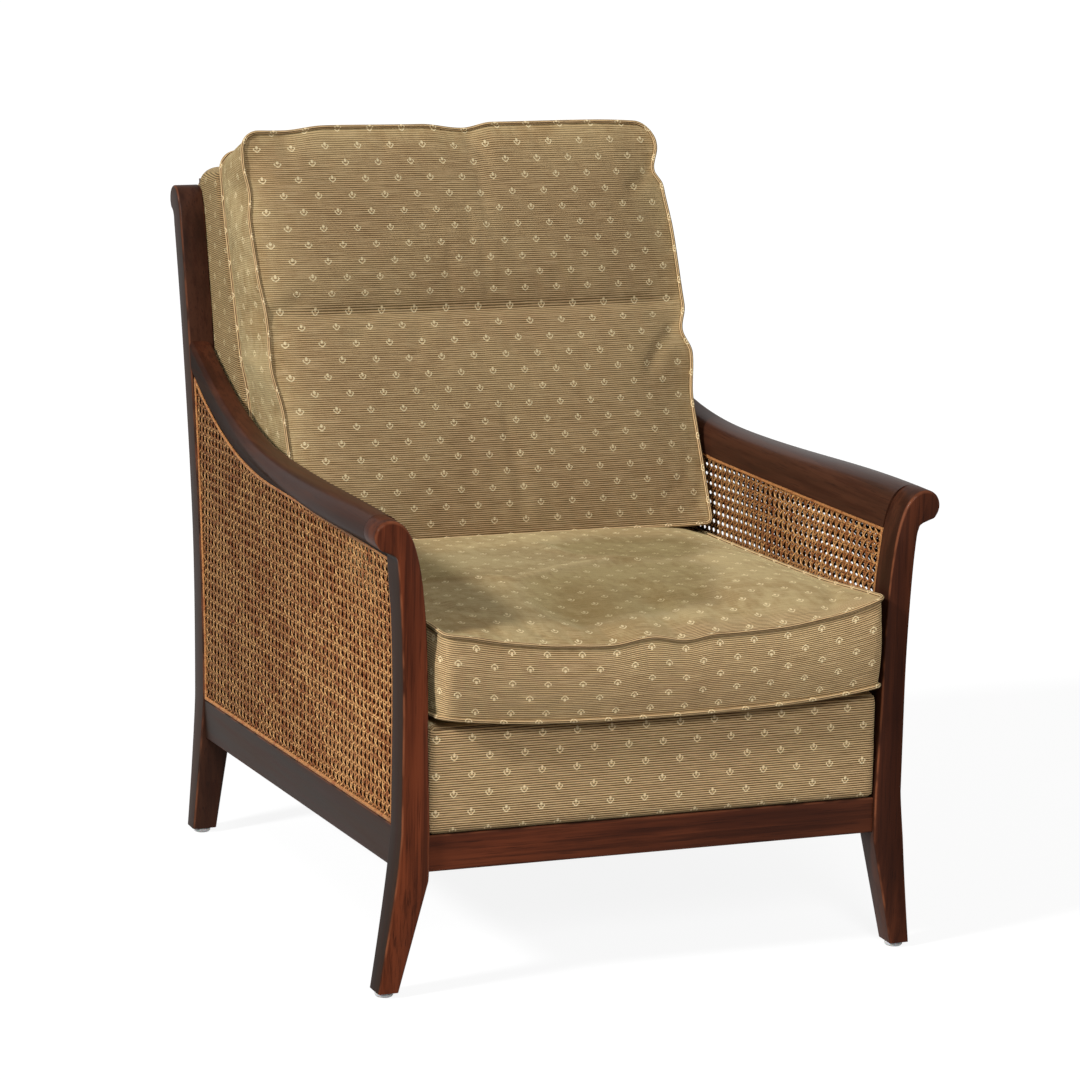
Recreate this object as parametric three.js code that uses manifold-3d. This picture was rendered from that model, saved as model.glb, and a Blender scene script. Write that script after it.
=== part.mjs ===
// Bergere armchair: scroll arms, sabre legs, double caned sides, a padded back and two loose cushions.
// Sizes are in millimetres. X runs to the viewer's right, the chair faces minus Y, Z is up from the floor.
// While the pieces are made, Y is counted from the middle of the front posts. The whole chair is then
// centred over its own footprint.

import * as THREE from "three";
import { mergeVertices } from "three/addons/utils/BufferGeometryUtils.js";
import Module from "manifold-3d";

const wasm = await Module();
wasm.setup();

// Posts and legs
const postSpread = 635.6; // over the outer faces of the posts at the waist
const postWidth = 34.4;
const postDepth = 40;
const frontToBack = 752; // middle of the front posts to the front face of the back posts at the seat
const edgeEase = 2.5; // eased arrises of the show wood
const clearance = 0.3; // between pieces that meet
const glideHeight = 7;
const glideRadius = 11;

// Front legs: waist above, knee inside, foot swept outwards
const frontWaistHeight = 200;
const frontKneeHeight = 142;
const frontSplayOut = 23.5;
const frontSplayIn = 33.5;
const frontFootDepth = 32;
const frontFootShift = 6; // the foot's middle lies this far behind the post's

// Back legs
const backWaistHeight = 175;
const backKneeHeight = 118;
const backSplayOut = 21;
const backSplayIn = 24;
const backFootDepth = 27;
const backFootForward = 24; // the foot's front face lies this far before the post's
const sweepPower = 1.2; // how late the outer face of a leg turns outwards

// Back posts above the seat
const backPostHeight = 836;
const backLean = 124; // how far the post's front face leans back at its top
const leanPower = 1.6;
const backPostSlim = 8; // depth that the post loses between waist and back
const slimRun = 250; // height over which it loses it
const backScrollRadius = 16.5;
const backScrollOverhang = 8;
const backCoveDrop = 31; // from the scroll's middle down to where its cove begins
const backRollStart = 36; // below the top, where the front face begins to roll over

// Arms and the scrolls on the front posts
const armHeight = 566; // scroll top at the front
const armDip = 12; // the arm falls this much behind the scroll
const armRise = 86; // and rises this much to the back post
const armThickness = 50;
const armUndersideRise = 74;
const armDipEnd = 450; // distance behind the front post's middle where the fall ends
const armSweepStart = 480; // where the underside begins to rise
const scrollRadius = 18.5;
const scrollOverhang = 36.9; // beyond the post's outer face
const armInnerLean = 17; // inner face of the stem under the scroll leans out this far
const armOuterLean = 8.5;
const stemHeight = 308; // the stem is straight below this
const stemInnerLean = 3.6; // and leans this far there
const tailRadius = 7; // the roll's radius at the arm's rear end

// Show rails
const railHeight = 50.7; // side rails
const sideRailBottom = 150.3; // at the front post
const seatDrop = 26.8; // the seat and the side rails fall this much to the back posts
const railInset = 1.5; // the rails' outer faces lie this far inside the posts'
const frontRailBottom = 149.7;
const frontRailHeight = 43.8;
const frontRailSetback = 6;
const frontRailThickness = 25;
const rearRailThickness = 25;
const rearRailSetback = 3;

// Cane
const caneThickness = 1.6;
const caneInset = 3.2; // outer cane behind the posts' outer face
const splineWidth = 5;
const splineThickness = 2;
const netColumns = 9;
const netRows = 5;
const strandShare = 0.42; // a strand's width against a gap's

// Seat box, webbing and deck
const seatBoxTop = 306;
const seatBoxBottom = 160;
const boardThickness = 22;
const rearBoardSetback = 8; // the rear board stands this far before the back posts
const blockLeg = 58;
const blockHeight = 46;
const blockDrop = 12;
const strapWidth = 50;
const strapThickness = 2.5;
const seatStrapCount = 5;
const seatStrapPitch = 104;
const deckSideGap = 2.4; // between the deck and the line of the posts' inner faces
const deckThickness = 13.1;
const dustCoverThickness = 1.5;

// Upholstered front border
const borderDepth = 46;
const borderFront = 16; // its front face before the middle of the posts
const borderSkin = 3;
const borderSideGap = 0.45; // to each front post
const borderCrown = 3;
const borderPadThickness = 9.5;

// Upholstered back
const backTopRise = 32; // the back's front top edge over the back posts
const backTopFall = 12; // and its fall to the rear top edge
const backWedge = 46; // the back's front face before the back posts' line, at middle height
const backMiddleHeight = 606;
const backFaceSlope = 0.425; // run over rise
const backFrameSetback = 3;
const backFrameDrop = 13; // the frame ends this far below the cover's rear top
const backBoardThickness = 22;
const stileWidth = 44;
const topRailHeight = 56;
const bottomRailHeight = 50;
const backStrapCount = 3;
const backStrapHeight = 60;
const coverSkin = 2;
const backEdgeRadius = 16;
const backCornerEase = 10;
const outerPanelThickness = 2;

// Seat cushion
const cushionSideGap = 6.4; // between a cushion and the line of the posts' inner faces
const cushionFront = 38; // before the middle of the front posts
const cushionRearGap = 13.5; // before the fixed back, measured at the border's height
const cushionRise = 6; // over the border, for the lower piping
const cushionBelly = 5.1; // its underside sinks this much in the middle
const cushionThickness = 109.5;
const cushionCrown = 11;
const cushionFrontDip = 27; // the front edge sinks this much at its middle
const cushionFrontSag = 8; // its front lower edge hangs this much over the border's face
const cushionDrawIn = 5; // sides pulled in between the corners
const cushionBoxBulge = 3;
const cushionCornerLift = 8;
const cushionSkin = 1.6;
const seatCoreGap = 1; // the core inside its cover's inner face
const pipingRadius = 3;
const pipingStandoff = 0.4;
const zipLength = 420;
const zipWidth = 3.6;

// Back cushion
const pillowSeatGap = 13.2; // over the seat cushion's edge, filled by its crown
const pillowHeight = 473.8;
const pillowTopFall = 37; // the top falls this much to the rear
const pillowFootDepth = 163.4; // from the fixed back to the front face's foot
const pillowTopDepth = 123.6;
const pillowRearGap = 7.3; // before the fixed back, filled by its rear crown
const pillowCoreGap = 2.4;
const pillowWiden = 8; // above the arms
const pillowOverArm = 19; // it widens from this far over the arms
const pillowWidenRun = 60;
const pillowFrontCrown = 24;
const pillowRearCrown = 6;
const pillowTopCrown = 5;
const pillowDrawIn = 5;
const pillowRearTaper = 8; // its rear face is this much narrower each side
const pillowCornerDraw = 8; // its top corners are drawn in and down this much
const channelDrop = 217; // from the top to the sewn channel across the front
const channelDepth = 15;

// Shares that shape the curves, chosen by eye
const easeLimitShare = 1 / 3; // an eased edge takes at most this much of a bar's width
const coveReachShare = 0.42; // how far a cove's curve runs on before it turns
const stemBendShares = [
  [0.04, 0.705],
  [0.245, 1],
];
const stemLeanPower = 2.2;
const rollBendShares = [
  [0.19, 0.45],
  [0.43, 1],
];
const armFrontBendShares = [0.13, 0.58, 0.64]; // inner edge inwards, inner edge up, crest back
const armRearBendShares = [0, 0.94, 0.94];
const armFadeShare = 0.87; // the scroll's section has faded in after this much of the arm
const armRisePower = 2.5;
const undersidePower = 2.2;
const scrollEndAngle = -60; // degrees round the roll, from the outside
const tipTaper = 9.5; // degrees between the two sides of a scroll's tip
const glideRimShare = 0.86;
const glideEdgeShares = [0.2, 0.7];
const cushionPowers = { face: 4, front: 5, side: 3, corner: 4, sag: 24 };
const pillowPowers = { across: 4, up: 6, edge: 8, top: 12, corner: 10, channel: 6 };
const pillowFootShare = 0.3; // how far the back cushion's foot piping leans down

// Steps along the curves
const legSteps = 7;
const stemSteps = 10;
const scrollSteps = 8;
const rollSteps = 5;
const postSteps = 12;
const armSteps = 16;
const sectionSteps = 6;
const coveSteps = 4;
const splineSteps = 8;
const backSteps = 8;
const turnSteps = 4;
const panelSteps = 10;
const glideSides = 20;
const pipingSides = 5;
const borderCells = [8, 1, 4];
const seatCells = [12, 8, 2];
const seatCoreCells = [12, 8, 1];
const pillowCells = [10, 2, 14];
const pillowCoreCells = [8, 2, 12];

// Places worked out from the sizes
const halfOuter = postSpread / 2;
const postInner = halfOuter - postWidth;
const postRear = postDepth / 2;
const seatSlope = seatDrop / frontToBack;
const armUnderside = armHeight - armThickness;
const armJoinHeight = armHeight - armDip + armRise;
const backTopFront = backPostHeight + backTopRise;
const backTopRear = backTopFront - backTopFall;
const borderTop = seatBoxTop + strapThickness + deckThickness + 3 * clearance;
const deckHalfWidth = postInner - deckSideGap;
const cushionHalfWidth = postInner - cushionSideGap;
const cushionBottom = borderTop + cushionRise;
const cushionTop = cushionBottom + cushionThickness;
const pillowBottomHeight = cushionTop + pillowSeatGap;
const pillowTopHeight = pillowBottomHeight + pillowHeight;
const pillowTopRearHeight = pillowTopHeight - pillowTopFall;
const pillowWidenStart = armHeight + pillowOverArm;
const channelHeight = pillowTopHeight - channelDrop;
const railInner = postInner + 2 * clearance;
const boardOuter = railInner - clearance;
const degree = Math.PI / 180;

// Materials, as plain colours of the finished chair
const mahogany = () => new THREE.MeshStandardMaterial({ color: 0x4a2014, roughness: 0.3, metalness: 0 });
const beech = () => new THREE.MeshStandardMaterial({ color: 0xb98d5e, roughness: 0.7, metalness: 0 });
const cane = () => new THREE.MeshStandardMaterial({ color: 0x9b5f2e, roughness: 0.55, metalness: 0 });
const fabric = () => new THREE.MeshStandardMaterial({ color: 0x8a774e, roughness: 0.9, metalness: 0 });
const webbing = () => new THREE.MeshStandardMaterial({ color: 0x6b5a45, roughness: 0.9, metalness: 0 });
const filling = () => new THREE.MeshStandardMaterial({ color: 0xe6dcc0, roughness: 0.95, metalness: 0 });
const lining = () => new THREE.MeshStandardMaterial({ color: 0x1c1a18, roughness: 0.95, metalness: 0 });
const glidePlastic = () => new THREE.MeshStandardMaterial({ color: 0xc9cbcc, roughness: 0.4, metalness: 0 });

const chair = new THREE.Group();

function add(name, geometry, material) {
  const piece = new THREE.Mesh(geometry, material);
  piece.name = name;
  chair.add(piece);
}

// Small helpers for shapes

const mix = (a, b, share) => a + (b - a) * share;
const clamped = (value) => Math.min(1, Math.max(0, value));
const smooth = (value) => clamped(value) ** 2 * (3 - 2 * clamped(value));

function signedVolume(positions, indices) {
  let volume = 0;
  const corner = [new THREE.Vector3(), new THREE.Vector3(), new THREE.Vector3()];
  for (let i = 0; i < indices.length; i += 3) {
    corner.forEach((point, k) => point.fromArray(positions, 3 * indices[i + k]));
    volume += corner[0].dot(corner[1].cross(corner[2])) / 6;
  }
  return volume;
}

// A closed body from corner points and triangles, turned so that its faces point outwards.
function closedBody(points, indices) {
  const positions = points.flatMap((point) => point.toArray());
  if (signedVolume(positions, indices) < 0) indices.reverse();
  const geometry = new THREE.BufferGeometry();
  geometry.setAttribute("position", new THREE.Float32BufferAttribute(positions, 3));
  geometry.setIndex(indices);
  geometry.computeVertexNormals();
  return geometry;
}

// A skin over rings of equal counts. Open runs get an end face on the first and last ring,
// cut into triangles in the plane that endPlane gives. A closed run joins its last ring to its first.
function skin(rings, endPlane, closed = false) {
  const count = rings[0].length;
  const indices = [];
  const runs = closed ? rings.length : rings.length - 1;
  for (let i = 0; i < runs; i += 1) {
    const here = i * count;
    const next = ((i + 1) % rings.length) * count;
    for (let j = 0; j < count; j += 1) {
      const k = (j + 1) % count;
      indices.push(here + j, here + k, next + k, here + j, next + k, next + j);
    }
  }
  if (!closed) {
    const cap = (ring, start, forwards) => {
      const outline = ring.map(endPlane);
      const keep = THREE.ShapeUtils.isClockWise(outline) !== forwards;
      THREE.ShapeUtils.triangulateShape(outline, []).forEach(([a, b, c]) => {
        indices.push(start + a, start + (keep ? b : c), start + (keep ? c : b));
      });
    };
    cap(rings[0], 0, false);
    cap(rings[rings.length - 1], (rings.length - 1) * count, true);
  }
  return closedBody(rings.flat(), indices);
}

function mirrored(geometry) {
  const copy = geometry.clone().applyMatrix4(new THREE.Matrix4().makeScale(-1, 1, 1));
  copy.setIndex(Array.from(copy.index.array).reverse());
  copy.computeVertexNormals();
  return copy;
}

function addPair(name, geometry, material) {
  add(`${name}_left`, mirrored(geometry), material);
  add(`${name}_right`, geometry, material.clone());
}

// Eight points round the section between two outline points, with eased edges.
// place(point, side, inset) puts an outline point on one of the bar's two sides.
function barRing(a, b, ease, place) {
  const width = a.distanceTo(b);
  const along = b.clone().sub(a).setLength(Math.min(ease, width * easeLimitShare));
  const nearA = a.clone().add(along);
  const nearB = b.clone().sub(along);
  return [
    place(nearA, 0, 0),
    place(nearB, 0, 0),
    place(b, 0, ease),
    place(b, 1, ease),
    place(nearB, 1, 0),
    place(nearA, 1, 0),
    place(a, 1, ease),
    place(a, 0, ease),
  ];
}

function easedRectangle(x0, x1, z0, z1, ease) {
  return barRing(new THREE.Vector2(x0, z0), new THREE.Vector2(x1, z0), ease, (point, side, inset) => {
    const height = side === 0 ? z0 + inset : z1 - inset;
    return new THREE.Vector2(point.x, height);
  });
}

function bezier(a, b, c, d, steps) {
  return new THREE.CubicBezierCurve(a, b, c, d).getPoints(steps);
}

const xzPlane = (point) => new THREE.Vector2(point.x, point.z);
const xyPlane = (point) => new THREE.Vector2(point.x, point.y);
const yzPlane = (point) => new THREE.Vector2(point.y, point.z);

// How far the seat has fallen at a place behind the front posts.
const seatFall = (y) => seatSlope * (y - postRear);

// The fixed back's front face, a leaning plane, and the places that follow it.
const backFaceAt = (z) => frontToBack - backWedge + backFaceSlope * (z - backMiddleHeight);
const cushionRear = backFaceAt(borderTop) - cushionRearGap;
const pillowFootHeight = pillowBottomHeight - seatFall(backFaceAt(pillowBottomHeight) - pillowFootDepth);
const pillowBottomFront = backFaceAt(pillowFootHeight) - pillowFootDepth;
const pillowTopFront = backFaceAt(pillowTopHeight) - pillowTopDepth;

// A box in the seat's own frame, whose heights fall with the seat towards the back.
function sloped(geometry) {
  const position = geometry.attributes.position;
  for (let i = 0; i < position.count; i += 1) {
    position.setZ(i, position.getZ(i) - seatFall(position.getY(i)));
  }
  geometry.computeVertexNormals();
  return geometry;
}

function block(x0, x1, y0, y1, z0, z1) {
  const box = new THREE.BoxGeometry(x1 - x0, y1 - y0, z1 - z0);
  return box.translate((x0 + x1) / 2, (y0 + y1) / 2, (z0 + z1) / 2);
}

// A box cut into cells whose points are placed by a function of u, v and w, each from -1 to 1.
function shapedBlock(across, deep, high, place) {
  const box = new THREE.BoxGeometry(2, 2, 2, across, deep, high);
  const position = box.attributes.position;
  const point = new THREE.Vector3();
  for (let i = 0; i < position.count; i += 1) {
    point.fromBufferAttribute(position, i);
    const placed = place(point.x, point.y, point.z);
    position.setXYZ(i, placed.x, placed.y, placed.z);
  }
  box.deleteAttribute("normal");
  box.deleteAttribute("uv");
  const merged = mergeVertices(box);
  merged.computeVertexNormals();
  return merged;
}

// Booleans

function toSolid(geometry) {
  const bare = new THREE.BufferGeometry();
  bare.setAttribute("position", geometry.attributes.position.clone());
  if (geometry.index) bare.setIndex(geometry.index.clone());
  const merged = mergeVertices(bare);
  return new wasm.Manifold(
    new wasm.Mesh({
      numProp: 3,
      vertProperties: new Float32Array(merged.attributes.position.array),
      triVerts: new Uint32Array(merged.index.array),
    }),
  );
}

function fromSolid(solid) {
  const mesh = solid.getMesh();
  const geometry = new THREE.BufferGeometry();
  geometry.setAttribute("position", new THREE.BufferAttribute(new Float32Array(mesh.vertProperties), 3));
  geometry.setIndex(new THREE.BufferAttribute(new Uint32Array(mesh.triVerts), 1));
  geometry.computeVertexNormals();
  return geometry;
}

function without(body, ...cuts) {
  const left = cuts.reduce((solid, cut) => solid.subtract(toSolid(cut)), toSolid(body));
  return fromSolid(left);
}

// Legs: the outer face turns outwards below the waist, the inner face below the knee

const outerFace = (z, waist, splay) => halfOuter + splay * Math.max(0, 1 - z / waist) ** sweepPower;
const innerFace = (z, knee, splay) => postInner + splay * Math.max(0, 1 - z / knee);

// Scrolls: an arc round the roll from its crest, and a cove from the stem into the arc's end

const scrollEnd = scrollEndAngle * degree;
const tipEnd = scrollEnd + tipTaper * degree;

function rollArc(centre, radius, end, steps) {
  return Array.from({ length: steps }, (_, i) => {
    const angle = mix(Math.PI / 2, end, (i + 1) / steps);
    return new THREE.Vector2(centre.x + radius * Math.cos(angle), centre.y + radius * Math.sin(angle));
  });
}

function cove(stem, centre, radius, end, steps) {
  const tip = new THREE.Vector2(centre.x + radius * Math.cos(end), centre.y + radius * Math.sin(end));
  const reach = coveReachShare * stem.distanceTo(tip);
  const beforeTip = new THREE.Vector2(tip.x + reach * Math.sin(end), tip.y - reach * Math.cos(end));
  const afterStem = new THREE.Vector2(stem.x, stem.y + reach);
  return bezier(stem, afterStem, beforeTip, tip, steps);
}

// Front posts: foot, waist, stem and scroll in one piece. The foot's end face lies flat and the scroll tip's
// stands nearly upright, so both are cut into triangles along x less z.

const frontCrest = new THREE.Vector2(halfOuter + scrollOverhang - scrollRadius, armHeight);
const frontScrollCentre = new THREE.Vector2(frontCrest.x, armHeight - scrollRadius);
const innerLeanAt = (z) =>
  armInnerLean * Math.max(0, (z - frontWaistHeight) / (armUnderside - frontWaistHeight)) ** stemLeanPower;
const outerLeanAt = (z) => armOuterLean * clamped((z - stemHeight) / (armUnderside - stemHeight)) ** stemLeanPower;

function frontPostOutline() {
  const inner = [];
  const outer = [];
  for (let i = 0; i <= legSteps; i += 1) {
    const z = mix(glideHeight, frontWaistHeight, i / legSteps);
    inner.push(new THREE.Vector2(innerFace(z, frontKneeHeight, frontSplayIn), z));
    outer.push(new THREE.Vector2(outerFace(z, frontWaistHeight, frontSplayOut), z));
  }
  const stemFoot = new THREE.Vector2(postInner + stemInnerLean, stemHeight);
  const width = frontCrest.x - stemFoot.x;
  const rise = armHeight - stemHeight;
  const [bend, turn] = stemBendShares.map(
    ([widthShare, riseShare]) => new THREE.Vector2(stemFoot.x + widthShare * width, stemFoot.y + riseShare * rise),
  );
  bezier(stemFoot, bend, turn, frontCrest, stemSteps).forEach((point) => {
    inner.push(point);
    const z = stemHeight + ((point.y - stemHeight) * (armUnderside - stemHeight)) / rise;
    outer.push(new THREE.Vector2(halfOuter + outerLeanAt(z), z));
  });
  const stemTop = outer[outer.length - 1];
  inner.push(...rollArc(frontScrollCentre, scrollRadius, tipEnd, scrollSteps));
  outer.push(...cove(stemTop, frontScrollCentre, scrollRadius, scrollEnd, scrollSteps).slice(1));
  return { inner, outer };
}

function frontPost() {
  const { inner, outer } = frontPostOutline();
  const legShare = (z) => clamped(1 - z / frontKneeHeight);
  const front = (z) => mix(-postRear, frontFootShift - frontFootDepth / 2, legShare(z));
  const rear = (z) => mix(postRear, frontFootShift + frontFootDepth / 2, legShare(z));
  const place = (point, side, inset) => {
    const y = side === 0 ? front(point.y) + inset : rear(point.y) - inset;
    return new THREE.Vector3(point.x, y, point.y);
  };
  const rings = inner.map((point, i) => barRing(point, outer[i], edgeEase, place));
  return skin(rings, (point) => new THREE.Vector2(point.x - point.z, point.y));
}

// Back posts: foot brought forward, lean growing upwards, a small roll to the rear on top

function backFrontAt(z) {
  const below = Math.max(0, 1 - z / backWaistHeight);
  const above = Math.max(0, (z - backWaistHeight) / (backPostHeight - backWaistHeight));
  return frontToBack - backFootForward * below ** sweepPower + backLean * above ** leanPower;
}

function backDepthAt(z) {
  if (z < backWaistHeight) return mix(backFootDepth, postDepth, z / backWaistHeight);
  return postDepth - backPostSlim * smooth((z - backWaistHeight) / slimRun);
}

const backRearAt = (z) => backFrontAt(z) + backDepthAt(z);

function backPost() {
  const front = [];
  const rear = [];
  const scrollZ = backPostHeight - backScrollRadius;
  const centre = new THREE.Vector2(backRearAt(scrollZ) + backScrollOverhang - backScrollRadius, scrollZ);
  const frontStop = backPostHeight - backRollStart;
  const rearStop = scrollZ - backCoveDrop;
  for (let i = 0; i <= legSteps + postSteps; i += 1) {
    const upper = Math.max(0, i - legSteps) / postSteps;
    const base = mix(glideHeight, backWaistHeight, Math.min(1, i / legSteps));
    const frontZ = i <= legSteps ? base : mix(backWaistHeight, frontStop, upper);
    const rearZ = i <= legSteps ? base : mix(backWaistHeight, rearStop, upper);
    front.push(new THREE.Vector2(backFrontAt(frontZ), frontZ));
    rear.push(new THREE.Vector2(backRearAt(rearZ), rearZ));
  }
  const start = front[front.length - 1];
  const crest = new THREE.Vector2(centre.x, backPostHeight);
  const run = crest.x - start.x;
  const [bend, turn] = rollBendShares.map(
    ([runShare, riseShare]) => new THREE.Vector2(start.x + runShare * run, start.y + riseShare * backRollStart),
  );
  front.push(...bezier(start, bend, turn, crest, rollSteps).slice(1));
  front.push(...rollArc(centre, backScrollRadius, tipEnd, scrollSteps));
  const neck = rear[rear.length - 1];
  rear.push(...cove(neck, centre, backScrollRadius, scrollEnd, rollSteps + scrollSteps).slice(1));
  const place = (point, side, inset) => {
    const inner = innerFace(point.y, backKneeHeight, backSplayIn) + inset;
    const outer = outerFace(point.y, backWaistHeight, backSplayOut) - inset;
    return new THREE.Vector3(side === 0 ? inner : outer, point.x, point.y);
  };
  const rings = front.map((point, i) => barRing(point, rear[i], edgeEase, place));
  return skin(rings, (point) => new THREE.Vector2(point.x, point.y - point.z));
}

// Arm rails: the scroll's section at the front fades into a flat sweep that climbs the back post

function armTopAt(y) {
  const fall = (armDip * (1 - Math.cos(Math.PI * clamped(y / armDipEnd)))) / 2;
  const climb = clamped((y - armDipEnd) / (backFrontAt(armJoinHeight) - armDipEnd));
  return armHeight - fall + armRise * climb ** armRisePower;
}

function armUndersideAt(y) {
  const climb = Math.max(0, (y - armSweepStart) / (backFrontAt(armUnderside) - armSweepStart));
  return armUnderside + armUndersideRise * climb ** undersidePower;
}

const armFade = (y) => clamped(1 - y / backFrontAt(armUnderside));

function armSection(y) {
  const fade = armFade(y);
  const roll = smooth(fade / armFadeShare);
  const top = armTopAt(y);
  const bottom = armUndersideAt(y);
  const rise = top - bottom;
  const radius = mix(tailRadius, scrollRadius, roll);
  const innerX = postInner + 2 * clearance + (armInnerLean - 2 * clearance) * fade ** 2;
  const outerX = halfOuter + armOuterLean * fade ** 2;
  const crestX = halfOuter + scrollOverhang * roll - radius;
  const width = crestX - innerX;
  const centre = new THREE.Vector2(crestX, top - radius);
  const end = scrollEnd * roll;
  const [inwards, upwards, back] = armRearBendShares.map((rear, i) => mix(rear, armFrontBendShares[i], fade));
  const up = new THREE.Vector2(innerX + inwards * width, bottom + upwards * rise);
  const over = new THREE.Vector2(crestX - back * width, top);
  const crest = new THREE.Vector2(crestX, top);
  const inside = bezier(new THREE.Vector2(innerX, bottom), up, over, crest, sectionSteps);
  const around = rollArc(centre, radius, end, sectionSteps);
  const below = cove(new THREE.Vector2(outerX, bottom), centre, radius, end, coveSteps).reverse();
  return [...inside, ...around, ...below.slice(1)];
}

function armRail() {
  const start = postRear + clearance;
  const rings = Array.from({ length: armSteps + 1 }, (_, i) => {
    const share = i / armSteps;
    const nominal = mix(start, backFrontAt(armJoinHeight), share);
    return armSection(nominal).map((point) => {
      const y = mix(start, backFrontAt(point.y) - clearance, share);
      return new THREE.Vector3(point.x, y, point.y);
    });
  });
  return skin(rings, xzPlane);
}

addPair("front_post", frontPost(), mahogany());
addPair("back_post", backPost(), mahogany());
addPair("arm_rail", armRail(), mahogany());

// Show rails

function sideRail() {
  const top = sideRailBottom + railHeight;
  const section = easedRectangle(railInner, halfOuter - railInset, sideRailBottom, top, edgeEase);
  const start = postRear + clearance;
  const ends = [0, 1].map((share) =>
    section.map((point) => {
      const z = point.y - share * seatFall(frontToBack);
      const y = mix(start, backFrontAt(z) - clearance, share);
      return new THREE.Vector3(point.x, y, point.y - seatFall(y));
    }),
  );
  return skin(ends, xzPlane);
}

function crossRail(front, thickness, bottom, height) {
  const half = postInner - clearance;
  const section = easedRectangle(front, front + thickness, bottom, bottom + height, edgeEase);
  const ends = [-half, half].map((x) => section.map((point) => new THREE.Vector3(x, point.x, point.y)));
  return skin(ends, yzPlane);
}

const rearRailBottom = sideRailBottom - seatFall(frontToBack);
const rearRailFront = frontToBack + rearRailSetback;

addPair("side_rail", sideRail(), mahogany());
const frontRailFront = frontRailSetback - postRear;
const frontRail = crossRail(frontRailFront, frontRailThickness, frontRailBottom, frontRailHeight);
add("front_show_rail", frontRail, mahogany());
add("rear_show_rail", crossRail(rearRailFront, rearRailThickness, rearRailBottom, railHeight), mahogany());

// Cane panels: shares s along the side and t up it, between rail and arm, front post and back post

const caneFront = postRear + 2 * clearance;
const sideRailTopAt = (y) => sideRailBottom + railHeight - seatFall(y);

function canePoint(s, t, x, leanAt, margin) {
  const nominal = mix(caneFront, frontToBack, s);
  const z = mix(sideRailTopAt(nominal) + margin, armUndersideAt(nominal) - margin, t);
  const y = mix(caneFront + margin, backFrontAt(z) - clearance - margin, s);
  const bottom = sideRailTopAt(y) + margin;
  const height = mix(bottom, armUndersideAt(y) - margin, t);
  return new THREE.Vector3(x + leanAt(height) * armFade(y) ** 2, y, height);
}

// Places of the strands' edges from 0 to 1, strand and gap in turn
function strandEdges(gaps) {
  const total = gaps + (gaps + 1) * strandShare;
  const edges = [0];
  for (let i = 0; i < 2 * gaps + 1; i += 1) {
    edges.push(edges[i] + (i % 2 === 0 ? strandShare : 1) / total);
  }
  return edges;
}

function caneNet(x, leanAt) {
  const columns = strandEdges(netColumns);
  const rows = strandEdges(netRows);
  const points = [];
  [x, x + caneThickness].forEach((face) => {
    columns.forEach((s) => rows.forEach((t) => points.push(canePoint(s, t, face, leanAt, clearance))));
  });
  const layer = columns.length * rows.length;
  const at = (i, j, side) => side * layer + i * rows.length + j;
  const filled = (i, j) => {
    const inside = i >= 0 && j >= 0 && i < columns.length - 1 && j < rows.length - 1;
    return inside && !(i % 2 === 1 && j % 2 === 1);
  };
  const indices = [];
  const quad = (a, b, c, d) => indices.push(a, b, c, a, c, d);
  for (let i = 0; i < columns.length - 1; i += 1) {
    for (let j = 0; j < rows.length - 1; j += 1) {
      if (filled(i, j)) {
        quad(at(i, j, 1), at(i + 1, j, 1), at(i + 1, j + 1, 1), at(i, j + 1, 1));
        quad(at(i, j, 0), at(i, j + 1, 0), at(i + 1, j + 1, 0), at(i + 1, j, 0));
        if (!filled(i, j - 1)) quad(at(i, j, 0), at(i + 1, j, 0), at(i + 1, j, 1), at(i, j, 1));
        if (!filled(i, j + 1)) quad(at(i, j + 1, 1), at(i + 1, j + 1, 1), at(i + 1, j + 1, 0), at(i, j + 1, 0));
        if (!filled(i - 1, j)) quad(at(i, j, 1), at(i, j + 1, 1), at(i, j + 1, 0), at(i, j, 0));
        if (!filled(i + 1, j)) quad(at(i + 1, j, 0), at(i + 1, j + 1, 0), at(i + 1, j + 1, 1), at(i + 1, j, 1));
      }
    }
  }
  return closedBody(points, indices);
}

// A reed round the cane's edge: a closed frame, wider than thick
function splineFrame(x, leanAt) {
  const path = [];
  for (let i = 0; i < splineSteps; i += 1) path.push([i / splineSteps, 1]);
  for (let i = 0; i < splineSteps; i += 1) path.push([1, 1 - i / splineSteps]);
  path.push([1, 0], [0, 0]);
  for (let i = 1; i < splineSteps / 2; i += 1) path.push([0, (2 * i) / splineSteps]);
  const rings = path.map(([s, t]) => [
    canePoint(s, t, x, leanAt, clearance),
    canePoint(s, t, x + splineThickness, leanAt, clearance),
    canePoint(s, t, x + splineThickness, leanAt, clearance + splineWidth),
    canePoint(s, t, x, leanAt, clearance + splineWidth),
  ]);
  return skin(rings, xzPlane, true);
}

const outerCaneX = halfOuter - caneInset - caneThickness;
const innerCaneX = railInner + splineThickness + 2 * clearance;
addPair("cane_outer", caneNet(outerCaneX, outerLeanAt), cane());
addPair("cane_inner", caneNet(innerCaneX, innerLeanAt), cane());
addPair("cane_spline_outer", splineFrame(outerCaneX + caneThickness + clearance, outerLeanAt), cane());
addPair("cane_spline_inner", splineFrame(innerCaneX - clearance - splineThickness, innerLeanAt), cane());

// Glides under the feet

function glide() {
  const top = glideHeight - clearance;
  const rim = glideRimShare * glideRadius;
  const [low, high] = glideEdgeShares;
  const profile = [
    new THREE.Vector2(0, 0),
    new THREE.Vector2(rim, 0),
    new THREE.Vector2(glideRadius, low * top),
    new THREE.Vector2(glideRadius, high * top),
    new THREE.Vector2(rim, top),
    new THREE.Vector2(0, top),
  ];
  return new THREE.LatheGeometry(profile, glideSides).rotateX(Math.PI / 2);
}

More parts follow.
